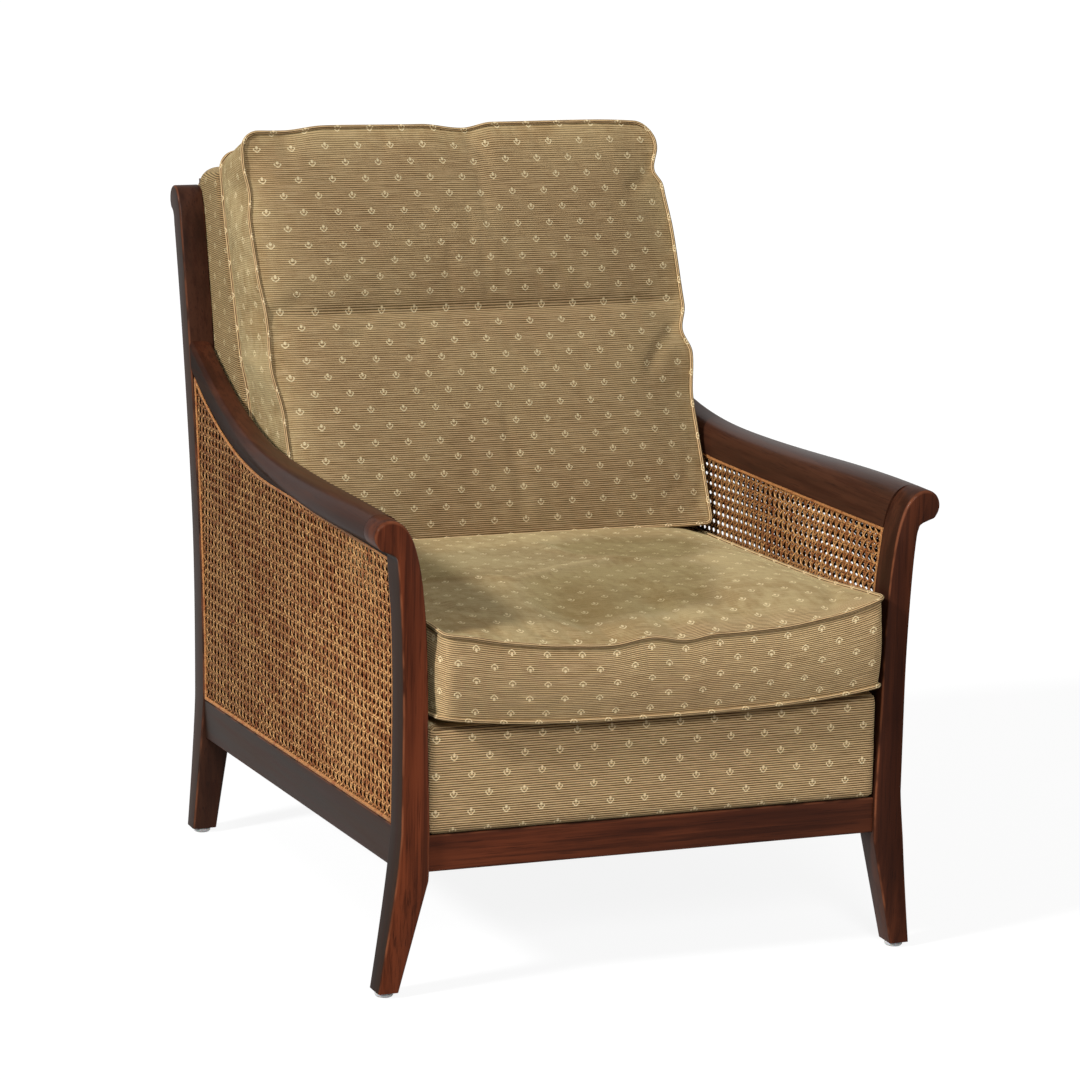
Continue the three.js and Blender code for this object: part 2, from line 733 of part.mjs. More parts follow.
const footCentre = (outer, inner) => (outer + inner) / 2;
const frontFootX = footCentre(
  outerFace(glideHeight, frontWaistHeight, frontSplayOut),
  innerFace(glideHeight, frontKneeHeight, frontSplayIn),
);
const backFootX = footCentre(
  outerFace(glideHeight, backWaistHeight, backSplayOut),
  innerFace(glideHeight, backKneeHeight, backSplayIn),
);
const backFootY = footCentre(backFrontAt(glideHeight), backRearAt(glideHeight));
addPair("glide_front", glide().translate(frontFootX, frontFootShift, 0), glidePlastic());
addPair("glide_back", glide().translate(backFootX, backFootY, 0), glidePlastic());

// Seat box: four boards that fall with the seat, corner blocks and webbing

const boardFront = postRear + clearance - boardThickness;
const boardInner = boardOuter - boardThickness;
const rearBoardRear = frontToBack - rearBoardSetback;
const rearBoardFront = rearBoardRear - boardThickness;
const frontBoardHalf = postInner - clearance;
const frontBoardBottom = frontRailBottom + frontRailHeight + clearance;
const sideBoardFront = postRear + 2 * clearance;

const frontBoardLow = frontBoardBottom + 2 * clearance;
const boardRear = postRear + clearance;
const frontBoard = block(-frontBoardHalf, frontBoardHalf, boardFront, boardRear, frontBoardLow, seatBoxTop);
add("seat_box_front", sloped(frontBoard), beech());
const sideBoard = block(boardInner, boardOuter, sideBoardFront, rearBoardRear, seatBoxBottom, seatBoxTop);
addPair("seat_box_side", sloped(sideBoard), beech());
const rearHalf = boardInner - clearance;
const rearBoard = block(-rearHalf, rearHalf, rearBoardFront, rearBoardRear, seatBoxBottom, seatBoxTop);
add("seat_box_rear", sloped(rearBoard), beech());

// A glue block in a corner: x and y give the corner, the turns say which way its legs run.
function cornerBlock(x, y, turnX, turnY) {
  const outline = new THREE.Shape();
  outline.moveTo(0, 0);
  outline.lineTo(turnX * blockLeg, 0);
  outline.lineTo(0, turnY * blockLeg);
  const prism = new THREE.ExtrudeGeometry(outline, { depth: blockHeight, bevelEnabled: false });
  return sloped(prism.translate(x, y, seatBoxTop - blockDrop - blockHeight));
}

const blockX = boardInner - clearance;
const blockFrontY = postRear + 2 * clearance;
const blockRearY = rearBoardFront - clearance;
add("corner_block_front_right", cornerBlock(blockX, blockFrontY, -1, 1), beech());
add("corner_block_front_left", cornerBlock(-blockX, blockFrontY, 1, 1), beech());
add("corner_block_back_right", cornerBlock(blockX, blockRearY, -1, -1), beech());
add("corner_block_back_left", cornerBlock(-blockX, blockRearY, 1, -1), beech());

const strapBottom = seatBoxTop + clearance;
const deckBottom = strapBottom + strapThickness + clearance;
const deckTop = deckBottom + deckThickness;
const deckFront = borderDepth - borderFront + clearance;
const strapTop = strapBottom + strapThickness;
for (let i = 0; i < seatStrapCount; i += 1) {
  const x = (i - (seatStrapCount - 1) / 2) * seatStrapPitch;
  const strap = block(x - strapWidth / 2, x + strapWidth / 2, boardFront, rearBoardRear, strapBottom, strapTop);
  add(`seat_strap_${i + 1}`, sloped(strap), webbing());
}

const deck = block(-deckHalfWidth, deckHalfWidth, deckFront, rearBoardRear, deckBottom, deckTop);
add("deck_pad", sloped(deck), filling());
const dustTop = seatBoxBottom - clearance;
const dustBottom = dustTop - dustCoverThickness;
const dustCover = block(-boardOuter, boardOuter, sideBoardFront, rearBoardRear, dustBottom, dustTop);
add("dust_cover", sloped(dustCover), lining());

// Front border: fabric over a pad, folded back over the front board

function borderBlock(front, rear, low, high, half) {
  return shapedBlock(...borderCells, (u, v, w) => {
    const crown = v < 0 ? borderCrown * (1 - u * u) * (1 - w * w) : 0;
    return new THREE.Vector3(u * half, mix(front, rear, (v + 1) / 2) - crown, mix(low, high, (w + 1) / 2));
  });
}

function borderCover() {
  const half = postInner - borderSideGap;
  const rear = borderDepth - borderFront;
  const past = 2 * borderSkin;
  const outer = borderBlock(-borderFront, rear, frontBoardBottom, borderTop, half);
  const inner = borderBlock(
    borderSkin - borderFront,
    rear + past,
    frontBoardBottom - past,
    borderTop - borderSkin,
    half + past,
  );
  return without(outer, inner);
}

add("front_border_cover", borderCover(), fabric());
const padFront = borderSkin + clearance - borderFront;
const padRear = Math.min(padFront + borderPadThickness, boardFront - clearance);
const padHalf = frontBoardHalf - clearance;
const padTop = borderTop - borderSkin - clearance;
const padBottom = frontBoardBottom + clearance;
add("front_border_pad", block(-padHalf, padHalf, padFront, padRear, padBottom, padTop), filling());

// Upholstered back: boards between the back posts, webbing, a wedge of padding, its cover and the outer panel

function leaningBoard(x0, x1, z0, z1, inset, thickness, steps) {
  const rings = Array.from({ length: steps + 1 }, (_, i) => {
    const z = mix(z0, z1, i / steps);
    const front = backFrontAt(z) + inset;
    return [
      new THREE.Vector3(x0, front, z),
      new THREE.Vector3(x1, front, z),
      new THREE.Vector3(x1, front + thickness, z),
      new THREE.Vector3(x0, front + thickness, z),
    ];
  });
  return skin(rings, xyPlane);
}

const deckAt = (y) => deckTop - seatFall(y);
const backHalfWidth = postInner - clearance;
const frameHalfWidth = backHalfWidth - coverSkin - clearance;
const stileInner = frameHalfWidth - stileWidth;
const frameBottom = deckAt(frontToBack) + 2 * clearance;
const frameTop = backTopRear - backFrameDrop;

addPair(
  "back_stile",
  leaningBoard(stileInner, frameHalfWidth, frameBottom, frameTop, backFrameSetback, backBoardThickness, backSteps),
  beech(),
);
const railHalf = stileInner - clearance;
add(
  "back_top_rail",
  leaningBoard(-railHalf, railHalf, frameTop - topRailHeight, frameTop, backFrameSetback, backBoardThickness, 2),
  beech(),
);
const bottomRailTop = frameBottom + bottomRailHeight;
add(
  "back_bottom_rail",
  leaningBoard(-railHalf, railHalf, frameBottom, bottomRailTop, backFrameSetback, backBoardThickness, 2),
  beech(),
);

const strapInset = backFrameSetback - clearance - strapThickness;
for (let i = 0; i < backStrapCount; i += 1) {
  const middle = mix(frameBottom, frameTop, (i + 1) / (backStrapCount + 1));
  const strap = leaningBoard(
    -frameHalfWidth,
    frameHalfWidth,
    middle - backStrapHeight / 2,
    middle + backStrapHeight / 2,
    strapInset,
    strapThickness,
    2,
  );
  add(`back_strap_${i + 1}`, strap, webbing());
}

// Rings of the back from its foot on the deck to its rounded top. inset draws every face inwards.
function backRings(inset, foot, rearAt, width) {
  const rings = [];
  const frontFoot = deckAt(backFaceAt(deckAt(cushionRear))) + foot;
  const rearFoot = deckAt(frontToBack) + foot;
  const radius = backEdgeRadius - inset;
  const topFront = backTopFront - inset;
  const topRear = backTopRear - inset;
  const ring = (share, draw) => {
    const frontZ = mix(frontFoot, topFront, share);
    const rearZ = mix(rearFoot, topRear, share);
    const a = new THREE.Vector2(backFaceAt(frontZ) + inset + draw, frontZ);
    const b = new THREE.Vector2(rearAt(rearZ) - draw, rearZ);
    return barRing(a, b, backCornerEase, (point, side, ease) => {
      const x = width - inset - draw - ease;
      return new THREE.Vector3(side === 0 ? -x : x, point.x, point.y);
    });
  };
  const straight = 1 - radius / (topFront - frontFoot);
  for (let i = 0; i <= backSteps; i += 1) rings.push(ring((straight * i) / backSteps, 0));
  for (let i = 1; i <= turnSteps; i += 1) {
    const angle = (Math.PI / 2) * (i / turnSteps);
    rings.push(ring(mix(straight, 1, Math.sin(angle)), radius * (1 - Math.cos(angle))));
  }
  return skin(rings, xyPlane);
}

const coverRear = backFrameSetback + backBoardThickness + clearance + coverSkin;
const pastRear = 2 * coverRear;
const backCoverOuter = backRings(0, clearance, (z) => backFrontAt(z) + coverRear, backHalfWidth);
const pastCover = pastRear + backEdgeRadius;
const backCoverInner = backRings(coverSkin, -pastRear, (z) => backFrontAt(z) + pastCover, backHalfWidth);
add("back_cover", without(backCoverOuter, backCoverInner), fabric());
add(
  "back_pad",
  backRings(coverSkin + clearance, 2 * clearance, (z) => backFrontAt(z) + strapInset - clearance, backHalfWidth),
  filling(),
);
add(
  "back_outer_panel",
  leaningBoard(
    clearance - backHalfWidth,
    backHalfWidth - clearance,
    rearRailBottom + railHeight + clearance,
    backTopRear - coverSkin,
    coverRear + clearance,
    outerPanelThickness,
    panelSteps,
  ),
  fabric(),
);

// Cushions

// A pipe round a closed run of points, standing off each point along its own outward direction
function piping(points, outwards) {
  const count = points.length;
  const rings = points.map((point, i) => {
    const along = points[(i + 1) % count].clone().sub(points[(i + count - 1) % count]).normalize();
    const out = outwards[i].clone().addScaledVector(along, -outwards[i].dot(along)).normalize();
    const over = new THREE.Vector3().crossVectors(along, out);
    const centre = point.clone().addScaledVector(out, pipingRadius + pipingStandoff);
    return Array.from({ length: pipingSides }, (_, k) => {
      const angle = (2 * Math.PI * k) / pipingSides;
      return centre
        .clone()
        .addScaledVector(out, pipingRadius * Math.cos(angle))
        .addScaledVector(over, pipingRadius * Math.sin(angle));
    });
  });
  return skin(rings, xzPlane, true);
}

// The run of shares round a face's edge, in steps that match the cushion's own cells
function edgeRun(across, up) {
  const run = [];
  for (let i = 0; i < across; i += 1) run.push([mix(-1, 1, i / across), -1]);
  for (let i = 0; i < up; i += 1) run.push([1, mix(-1, 1, i / up)]);
  for (let i = 0; i < across; i += 1) run.push([mix(1, -1, i / across), 1]);
  for (let i = 0; i < up; i += 1) run.push([-1, mix(1, -1, i / up)]);
  return run;
}

// Seat cushion: u across, v from front to rear, w up
function seatCushionPoint(u, v, w, inset) {
  const { face, front, side, corner, sag } = cushionPowers;
  const boxed = cushionBoxBulge * (1 - w * w);
  const halfWidth = cushionHalfWidth - cushionDrawIn * (1 - v * v) - inset;
  const middle = (cushionRear - cushionFront) / 2;
  const rearDraw = v > 0 ? cushionDrawIn * (1 - u * u) : 0;
  const halfDepth = (cushionRear + cushionFront) / 2 - rearDraw - inset;
  const x = u * (halfWidth + boxed * Math.abs(u) ** side);
  const y = middle + v * (halfDepth + boxed * Math.abs(v) ** side);
  const lift = cushionCornerLift * (u * v) ** corner * (1 - clamped(v));
  const dip = cushionFrontDip * ((1 - v) / 2) ** front * (1 - u ** face);
  const swell = (1 - u ** face) * (1 - v ** face);
  const top = cushionTop - dip - inset + cushionCrown * swell;
  const hang = cushionFrontSag * ((1 - v) / 2) ** sag * (1 - u * u);
  const bottom = cushionBottom + inset + lift - hang - cushionBelly * swell;
  return new THREE.Vector3(x, y, mix(bottom, top, (w + 1) / 2) - seatFall(y));
}

const seatSolid = (inset, cells = seatCells) =>
  shapedBlock(...cells, (u, v, w) => seatCushionPoint(u, v, w, inset));

function seatCushionCover() {
  const outer = seatSolid(0);
  const inner = seatSolid(cushionSkin);
  const slotZ = (cushionBottom + cushionTop) / 2 - seatFall(cushionRear);
  const past = 4 * cushionDrawIn;
  const half = zipLength / 2;
  const slotHalf = zipWidth / 2;
  const slot = block(-half, half, cushionRear - past, cushionRear + past, slotZ - slotHalf, slotZ + slotHalf);
  return without(outer, inner, slot);
}

function seatPiping(w) {
  const run = edgeRun(seatCells[0], seatCells[1]);
  const points = run.map(([u, v]) => seatCushionPoint(u, v, w, 0));
  const outwards = run.map(([u, v]) => {
    const outX = Math.abs(u) === 1 ? u : 0;
    const outY = Math.abs(v) === 1 ? v : 0;
    return new THREE.Vector3(outX, outY, w);
  });
  return piping(points, outwards);
}

function seatZip() {
  const z = (cushionBottom + cushionTop) / 2 - seatFall(cushionRear);
  const half = zipLength / 2 - clearance;
  const thick = zipWidth / 2 - clearance;
  const depth = cushionSkin / 2;
  const cells = seatCells[0];
  const rings = Array.from({ length: cells + 1 }, (_, i) => {
    const x = mix(-half, half, i / cells);
    const u = x / cushionHalfWidth;
    const rear = cushionRear - cushionDrawIn * (1 - u * u) + cushionBoxBulge - depth / 2;
    return [
      new THREE.Vector3(x, rear - depth, z - thick),
      new THREE.Vector3(x, rear, z - thick),
      new THREE.Vector3(x, rear, z + thick),
      new THREE.Vector3(x, rear - depth, z + thick),
    ];
  });
  return skin(rings, yzPlane);
}

add("seat_cushion_cover", seatCushionCover(), fabric());
add("seat_cushion_core", seatSolid(cushionSkin + seatCoreGap, seatCoreCells), filling());
add("seat_cushion_piping_top", seatPiping(1), fabric());
add("seat_cushion_piping_bottom", seatPiping(-1), fabric());
add("seat_cushion_zip", seatZip(), webbing());

// Back cushion: u across, v from its front face (-1) to its rear face (1), w up
function backCushionPoint(u, v, w, inset) {
  const share = (w + 1) / 2;
  const rearFoot = backFaceAt(pillowFootHeight) - pillowRearGap;
  const frontLow = pillowFootHeight + inset;
  const rearLow = pillowBottomHeight - seatFall(rearFoot) + inset;
  const frontZ = mix(frontLow, pillowTopHeight - inset, share);
  const rearZ = mix(rearLow, pillowTopRearHeight - inset, share);
  const frontY = mix(pillowBottomFront, pillowTopFront, share) + inset;
  const rearY = backFaceAt(rearZ) - pillowRearGap - inset;
  const across = (v + 1) / 2;
  const z = mix(frontZ, rearZ, across);
  const powers = pillowPowers;
  const widen = pillowWiden * smooth((z - pillowWidenStart) / pillowWidenRun);
  const drawn = pillowDrawIn * (1 - w ** powers.across) * (1 - Math.abs(u) ** powers.edge);
  const cornerShare = share ** powers.corner;
  const taper = pillowRearTaper * across * smooth((z - pillowWidenStart) / pillowWidenRun);
  const halfWidth = cushionHalfWidth + widen - taper - drawn - pillowCornerDraw * cornerShare - inset;
  const faceRound = (1 - u ** powers.across) * (1 - w ** powers.up);
  const offChannel = clamped(Math.abs(z - channelHeight) / (pillowTopHeight - channelHeight));
  const crown = pillowFrontCrown - channelDepth * (1 - offChannel) ** powers.channel;
  const front = frontY - crown * faceRound;
  const rear = rearY + pillowRearCrown * faceRound;
  const top = pillowTopCrown * share ** powers.top * (1 - u ** powers.across) * (1 - v * v);
  const drop = pillowCornerDraw * cornerShare * Math.abs(u) ** powers.edge;
  return new THREE.Vector3(u * halfWidth, mix(front, rear, across), z + top - drop);
}

const pillowSolid = (inset, cells = pillowCells) =>
  shapedBlock(...cells, (u, v, w) => backCushionPoint(u, v, w, inset));

const pillowZipY = (pillowBottomFront + backCushionPoint(0, 1, -1, 0).y) / 2;
const pillowZipZ = pillowBottomHeight - seatFall(pillowZipY);

function backCushionCover() {
  const outer = pillowSolid(0);
  const inner = pillowSolid(cushionSkin);
  const past = 4 * cushionSkin;
  const slot = block(
    -zipLength / 2,
    zipLength / 2,
    pillowZipY - zipWidth / 2,
    pillowZipY + zipWidth / 2,
    pillowZipZ - past,
    pillowZipZ + past,
  );
  return without(outer, inner, slot);
}

function pillowPiping(v) {
  const run = edgeRun(pillowCells[0], pillowCells[2]);
  const points = run.map(([u, w]) => backCushionPoint(u, v, w, 0));
  const outwards = run.map(([u, w]) => {
    const outX = Math.abs(u) === 1 ? u : 0;
    const outZ = Math.abs(w) === 1 ? Math.max(w, -pillowFootShare) : 0;
    return new THREE.Vector3(outX, v, outZ);
  });
  return piping(points, outwards);
}

add("back_cushion_cover", backCushionCover(), fabric());
add("back_cushion_core", pillowSolid(cushionSkin + pillowCoreGap, pillowCoreCells), filling());
add("back_cushion_piping_front", pillowPiping(-1), fabric());
add("back_cushion_piping_rear", pillowPiping(1), fabric());
const zipHalf = zipLength / 2 - clearance;
const zipThick = zipWidth / 2 - clearance;
const zipLow = pillowZipZ + clearance;
const zipHigh = pillowZipZ + cushionSkin - clearance;
const pillowZip = block(-zipHalf, zipHalf, pillowZipY - zipThick, pillowZipY + zipThick, zipLow, zipHigh);
add("back_cushion_zip", pillowZip, webbing());

// The finished chair stands with its footprint's middle at the origin

chair.updateMatrixWorld(true);
const reach = new THREE.Box3().setFromObject(chair);
chair.position.y = -(reach.min.y + reach.max.y) / 2;
chair.updateMatrixWorld(true);

export default chair;
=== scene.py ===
# %% [markdown]
# # A bergere armchair, dressed over its imported model
#
# The chair's solids come in as a fixed frame. Each visible piece gets its real surface and finish: lacquered
# mahogany, hand-woven cane, and a ribbed khaki cloth with a small woven sprig. The bare model's box is kept, and
# the dressed chair's box is printed beside it at the end.
# %% Load the imported model
import math

import bmesh
import bpy
import numpy as np
from mathutils import Matrix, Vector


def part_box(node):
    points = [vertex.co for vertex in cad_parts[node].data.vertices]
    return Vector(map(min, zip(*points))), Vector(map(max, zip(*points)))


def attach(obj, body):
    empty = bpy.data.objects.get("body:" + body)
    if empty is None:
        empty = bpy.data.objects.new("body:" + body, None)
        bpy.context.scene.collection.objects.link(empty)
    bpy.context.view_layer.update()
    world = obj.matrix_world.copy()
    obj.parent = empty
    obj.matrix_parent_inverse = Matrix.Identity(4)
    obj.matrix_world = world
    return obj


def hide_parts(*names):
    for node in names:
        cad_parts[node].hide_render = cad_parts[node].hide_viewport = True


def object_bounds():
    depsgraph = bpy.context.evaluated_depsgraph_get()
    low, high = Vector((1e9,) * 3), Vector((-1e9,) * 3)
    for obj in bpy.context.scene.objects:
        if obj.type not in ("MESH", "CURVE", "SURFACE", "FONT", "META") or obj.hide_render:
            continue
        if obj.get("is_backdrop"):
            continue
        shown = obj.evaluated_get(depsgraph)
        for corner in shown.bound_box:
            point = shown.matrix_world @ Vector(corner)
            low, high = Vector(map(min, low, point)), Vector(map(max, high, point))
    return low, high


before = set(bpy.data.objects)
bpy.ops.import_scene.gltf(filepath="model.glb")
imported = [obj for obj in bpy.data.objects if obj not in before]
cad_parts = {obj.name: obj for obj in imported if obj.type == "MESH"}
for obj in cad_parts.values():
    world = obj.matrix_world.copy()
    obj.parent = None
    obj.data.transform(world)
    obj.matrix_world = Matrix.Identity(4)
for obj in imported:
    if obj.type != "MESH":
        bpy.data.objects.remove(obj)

bare_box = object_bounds()

# %% [markdown]
# ## Chair millimetres
#
# Here x runs across the chair, y back from the middle of the front posts and z up from the floor, in millimetres.
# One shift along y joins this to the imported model. It is read from a front glide, 6 mm behind the posts' middle.
# %% From chair millimetres to metres


def middle(node):
    """The middle of a node's box, in millimetres from the model's origin."""
    low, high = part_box(node)
    return np.array([500 * (a + b) for a, b in zip(low, high)])


shift_back = 6 - middle("glide_front_left")[1]


def beside(*values):
    """Coordinates side by side: one row of numbers for each point."""
    return np.stack(np.broadcast_arrays(*values), axis=-1)


def in_metres(x, y, z):
    """Points in the model's frame: x, y less the shift, and z, over a thousand."""
    return beside(x, y - shift_back, z) / 1000


def mix(a, b, share):
    """a plus the share of the way from a to b."""
    return a + (b - a) * share


def smooth(share):
    """Three times the square less twice the cube of the share, held between 0 and 1."""
    share = np.clip(share, 0, 1)
    return share * share * (3 - 2 * share)


print("shift along y:", round(shift_back, 2), "mm")

# %% [markdown]
# ## From a grid of points to a piece
#
# Most pieces are one grid of points bent into place: one helper joins neighbours into quads, another makes the
# object. Normals are recalculated, so that a mirrored piece still faces outwards.
# %% Helpers that build a piece


def grid_quads(rows, columns, around=False):
    """Quads between the neighbours of a grid stored row by row; around joins the last column to the first."""
    i, j = np.meshgrid(np.arange(rows - 1), np.arange(columns - (not around)), indexing="ij")
    this, following, after = i * columns, (i + 1) * columns, (j + 1) % columns
    return beside(this + j, this + after, following + after, following + j).reshape(-1, 4)


def closed_loft(rings):
    """Points and faces of a bar: rings of points joined in turn, with one flat face closing each end."""
    rows, columns = rings.shape[:2]
    faces = grid_quads(rows, columns, around=True).tolist()
    faces += [list(range(columns)), list(range((rows - 1) * columns, rows * columns))]
    return rings.reshape(-1, 3), faces


def add_object(name, data):
    """An object in the scene."""
    thing = bpy.data.objects.new(name, data)
    bpy.context.scene.collection.objects.link(thing)
    return thing


def make_piece(name, points, faces, finish, body, slot, uv=None, marks=None, sharp=None, seams=(), replaces=()):
    """An object from points in metres and faces, with its finish, its body and the nodes it stands for. Cloth
    coordinates go with points or with quads' corners, marks are numbers that the finish reads at the points, and
    seams are loops of points that smoothing leaves crisp."""
    mesh = bpy.data.meshes.new(name)
    mesh.from_pydata(points.reshape(-1, 3), [], faces if isinstance(faces, list) else faces.tolist())
    if uv is not None:
        loops = np.empty(len(mesh.loops), np.int32)
        mesh.loops.foreach_get("vertex_index", loops)
        per_loop = uv[loops] if len(uv) == len(mesh.vertices) else uv
        mesh.uv_layers.new(name="cloth").data.foreach_set("uv", per_loop.astype(np.float32).ravel())
    for mark, values in (marks or {}).items():
        mesh.attributes.new(mark, "FLOAT", "POINT").data.foreach_set("value", np.float32(values).ravel())
    shell = bmesh.new()
    shell.from_mesh(mesh)
    if seams:
        crisp = shell.edges.layers.float.new("crease_edge")
        sewn = {frozenset(pair) for loop in seams for pair in zip(loop.tolist(), np.roll(loop, -1).tolist())}
        for edge in shell.edges:
            edge[crisp] = float(frozenset(v.index for v in edge.verts) in sewn)
    bmesh.ops.recalc_face_normals(shell, faces=shell.faces)
    shell.to_mesh(mesh)
    shell.free()
    mesh.polygons.foreach_set("use_smooth", np.ones(len(mesh.polygons), bool))
    if sharp:
        mesh.set_sharp_from_angle(angle=math.radians(sharp))
    mesh.materials.append(finish)
    piece = add_object(name, mesh)
    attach(piece, body)
    if replaces:
        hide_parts(*replaces)
    return piece


def both_sides(name, points, faces, finish, slot, **more):
    """The right piece of a pair and its mirror image on the left, each standing for the node of its own name."""
    for side, turn in (("right", 1), ("left", -1)):
        make_piece(f"{name}_{side}_look", points.reshape(-1, 3) * [turn, 1, 1], faces, finish, "chair_frame", slot,
                   replaces=(f"{name}_{side}",), **more)


# %% [markdown]
# ## Camera
#
# The chair is seen from the front, 22 degrees round to its left and a little from above, with a long lens.
# %% The camera at the photograph's angle


def aim(name, data, place, right, up, back):
    """An object at a place in metres, with its own x, y and z along three directions."""
    thing = add_object(name, data)
    turn = Matrix(np.column_stack([right, up, back]).tolist()).to_4x4()
    thing.matrix_world = Matrix.Translation(place.tolist()) @ turn
    return thing


yaw, pitch, roll = 0.380042, 0.203804, 0.020936
focal_pixels, picture_pixels = 4191.572, 1080
forward = np.array([math.sin(yaw) * math.cos(pitch), math.cos(yaw) * math.cos(pitch), -math.sin(pitch)])
level = np.array([math.cos(yaw), -math.sin(yaw), 0.0])
above = np.cross(level, forward)
lens = bpy.data.cameras.new("camera")
lens.sensor_width = 36
lens.lens = focal_pixels / picture_pixels * lens.sensor_width
bpy.context.scene.camera = aim(
    "camera", lens, in_metres(-1893.565, -4371.169, 1502.663),
    level * math.cos(roll) + above * math.sin(roll), above * math.cos(roll) - level * math.sin(roll), -forward)
print("lens:", round(lens.lens, 1), "mm")

# %% [markdown]
# ## Shader helpers
#
# A finish is a small graph of nodes, and each one reads as a list of steps: which pattern, which colour, how
# rough, how raised.
# %% Helpers that build a finish


def fill(tree, socket, value):
    """Links a socket to an output, or gives it a plain value; None leaves it as it is."""
    if isinstance(value, bpy.types.NodeSocket):
        tree.links.new(value, socket)
    elif value is not None:
        socket.default_value = value


def add_node(tree, kind, *values, out=0, **options):
    """A node with its options set and its sockets filled in order, as one of its outputs."""
    node = tree.nodes.new("ShaderNode" + kind)
    for option, value in options.items():
        setattr(node, option, value)
    for socket, value in zip(node.inputs, values):
        fill(tree, socket, value)
    return node.outputs[out]


def tint(red, green, blue):
    """A screen colour from 0 to 255 as linear light: the standard curve, a power of 2.4 above a straight foot."""
    shares = np.array([red, green, blue]) / 255
    linear = np.where(shares <= 0.04045, shares / 12.92, ((shares + 0.055) / 1.055) ** 2.4)
    return (*linear.tolist(), 1.0)


class Finish:
    """A material made step by step. Its place is the object's own coordinates, or the cloth's on a cloth."""

    def __init__(self, name, cloth=False, **plain):
        self.material = bpy.data.materials.new(name)
        self.material.use_nodes = True
        self.tree = self.material.node_tree
        self.shader = self.tree.nodes["Principled BSDF"]
        self.place = self.add("UVMap", uv_map="cloth") if cloth else self.add("TexCoord", out=3)
        for socket, value in plain.items():
            self.set(socket.replace("_", " "), value)

    def set(self, socket, value):
        """A value or an output for the shader's socket."""
        fill(self.tree, self.shader.inputs[socket], value)

    def add(self, kind, *values, **options):
        """A node in this material."""
        return add_node(self.tree, kind, *values, **options)

    def work(self, operation, *values):
        """One arithmetic node."""
        return self.add("Math", *values, operation=operation)

    def times(self, a, b):
        """a times b."""
        return self.work("MULTIPLY", a, b)

    def times_plus(self, a, b, c):
        """a times b plus c."""
        return self.work("MULTIPLY_ADD", a, b, c)

    def mark(self, name):
        """The piece's own mark at each point."""
        return self.add("Attribute", out=2, attribute_name=name)

    def blend(self, share, low, high):
        """Between two colours, each a socket or a screen colour; the share may be a number or a socket."""
        colours = (tint(*colour) if isinstance(colour, tuple) else colour for colour in (low, high))
        return self.add("Mix", share, *[None] * 5, *colours, out=2, data_type="RGBA")

    def ramp(self, value, low, high, first, last):
        """Straight from the first number at low to the last at high, and held beyond."""
        return self.add("MapRange", value, low, high, first, last)

    def between(self, value, low, high):
        """0 below low and 1 above high, smooth in between; with high below low it runs the other way."""
        return self.add("MapRange", value, low, high, 0.0, 1.0, interpolation_type="SMOOTHSTEP")

    def fleck(self, base, pattern, low, high, share, colour):
        """A colour laid over the base, up to the share, as the pattern goes from low to high."""
        return self.blend(self.times(self.between(pattern, low, high), share), base, colour)

    def streaks(self, scale, detail=3, rough=0.55):
        """Noise on the place, stretched by one scale or by one for each axis."""
        scale = np.broadcast_to(scale, 3).astype(float).tolist()
        stretched = self.add("Mapping", self.place, None, None, scale, vector_type="POINT")
        return self.add("TexNoise", stretched, None, 1.0, detail, rough, noise_dimensions="3D")

    def use(self, colour, roughness, height, distance, strength):
        """The material, with its colour, its roughness and a bump from the height."""
        self.set("Base Color", colour)
        self.set("Roughness", roughness)
        self.set("Normal", self.add("Bump", strength, distance, None, height))
        return self.material


# %% [markdown]
# ## Mahogany
#
# The show wood is stained dark and lacquered. Its grain runs along each member, so the finish is made three
# times, with the noise drawn out along x, y or z. Four marks vary it: reddened faces, mostly the front and inner
# faces, are redder, more so on the chair's left; rubbed arrises are pale; polished places still shine; and the
# outer sides have gone dull.
# %% Lacquered mahogany for three grain directions


def mahogany(name, along):
    """Stained wood: broad figure, lines and fine pores drawn out along the grain, redder where the face is marked as
    reddened and paler where the arris is rubbed."""
    wood = Finish(name, Coat_Roughness=0.13)

    def grain(across_scale, along_scale, **more):
        scale = np.full(3, across_scale)
        scale[along] = along_scale
        return wood.streaks(scale, **more)

    figure = grain(30.0, 2.2, detail=4, rough=0.6)
    lines = grain(150.0, 4.5, detail=5, rough=0.65)
    pores = grain(620.0, 20.0, detail=2)
    shade = wood.between(figure, 0.34, 0.66)
    from_left = wood.ramp(wood.add("SeparateXYZ", wood.place), -0.3, 0.3, 1.0, 0.5)
    brown = wood.blend(shade, (30, 20, 14), (46, 31, 22))
    red = wood.blend(shade, (74, 34, 20), (114, 56, 33))
    # Redder where the face is marked as reddened, fully at the chair's left and half as much at its right.
    base = wood.blend(wood.times(wood.mark("faded"), from_left), brown, red)
    lined = wood.fleck(base, lines, 0.45, 0.66, 0.65, (44, 21, 13))
    pored = wood.fleck(lined, pores, 0.58, 0.72, 0.5, (26, 14, 11))
    rubbed = wood.times(wood.mark("wear"), wood.between(wood.streaks(22, detail=2), 0.38, 0.6))
    colour = wood.blend(wood.times(rubbed, 0.45), pored, (150, 88, 58))
    wood.set("Coat Weight", wood.times(wood.mark("polish"), 0.15))
    wood.set("Specular IOR Level", wood.times_plus(wood.mark("dull"), -0.05, 0.05))
    return wood.use(colour, wood.ramp(figure, 0.3, 0.7, 0.38, 0.5), pores, 0.00012, 0.35)


mahogany_across, mahogany_deep, mahogany_upright = (
    mahogany(f"mahogany_{way}", axis) for axis, way in enumerate(("across", "deep", "upright")))
print("finishes:", [m.name for m in bpy.data.materials][-3:])

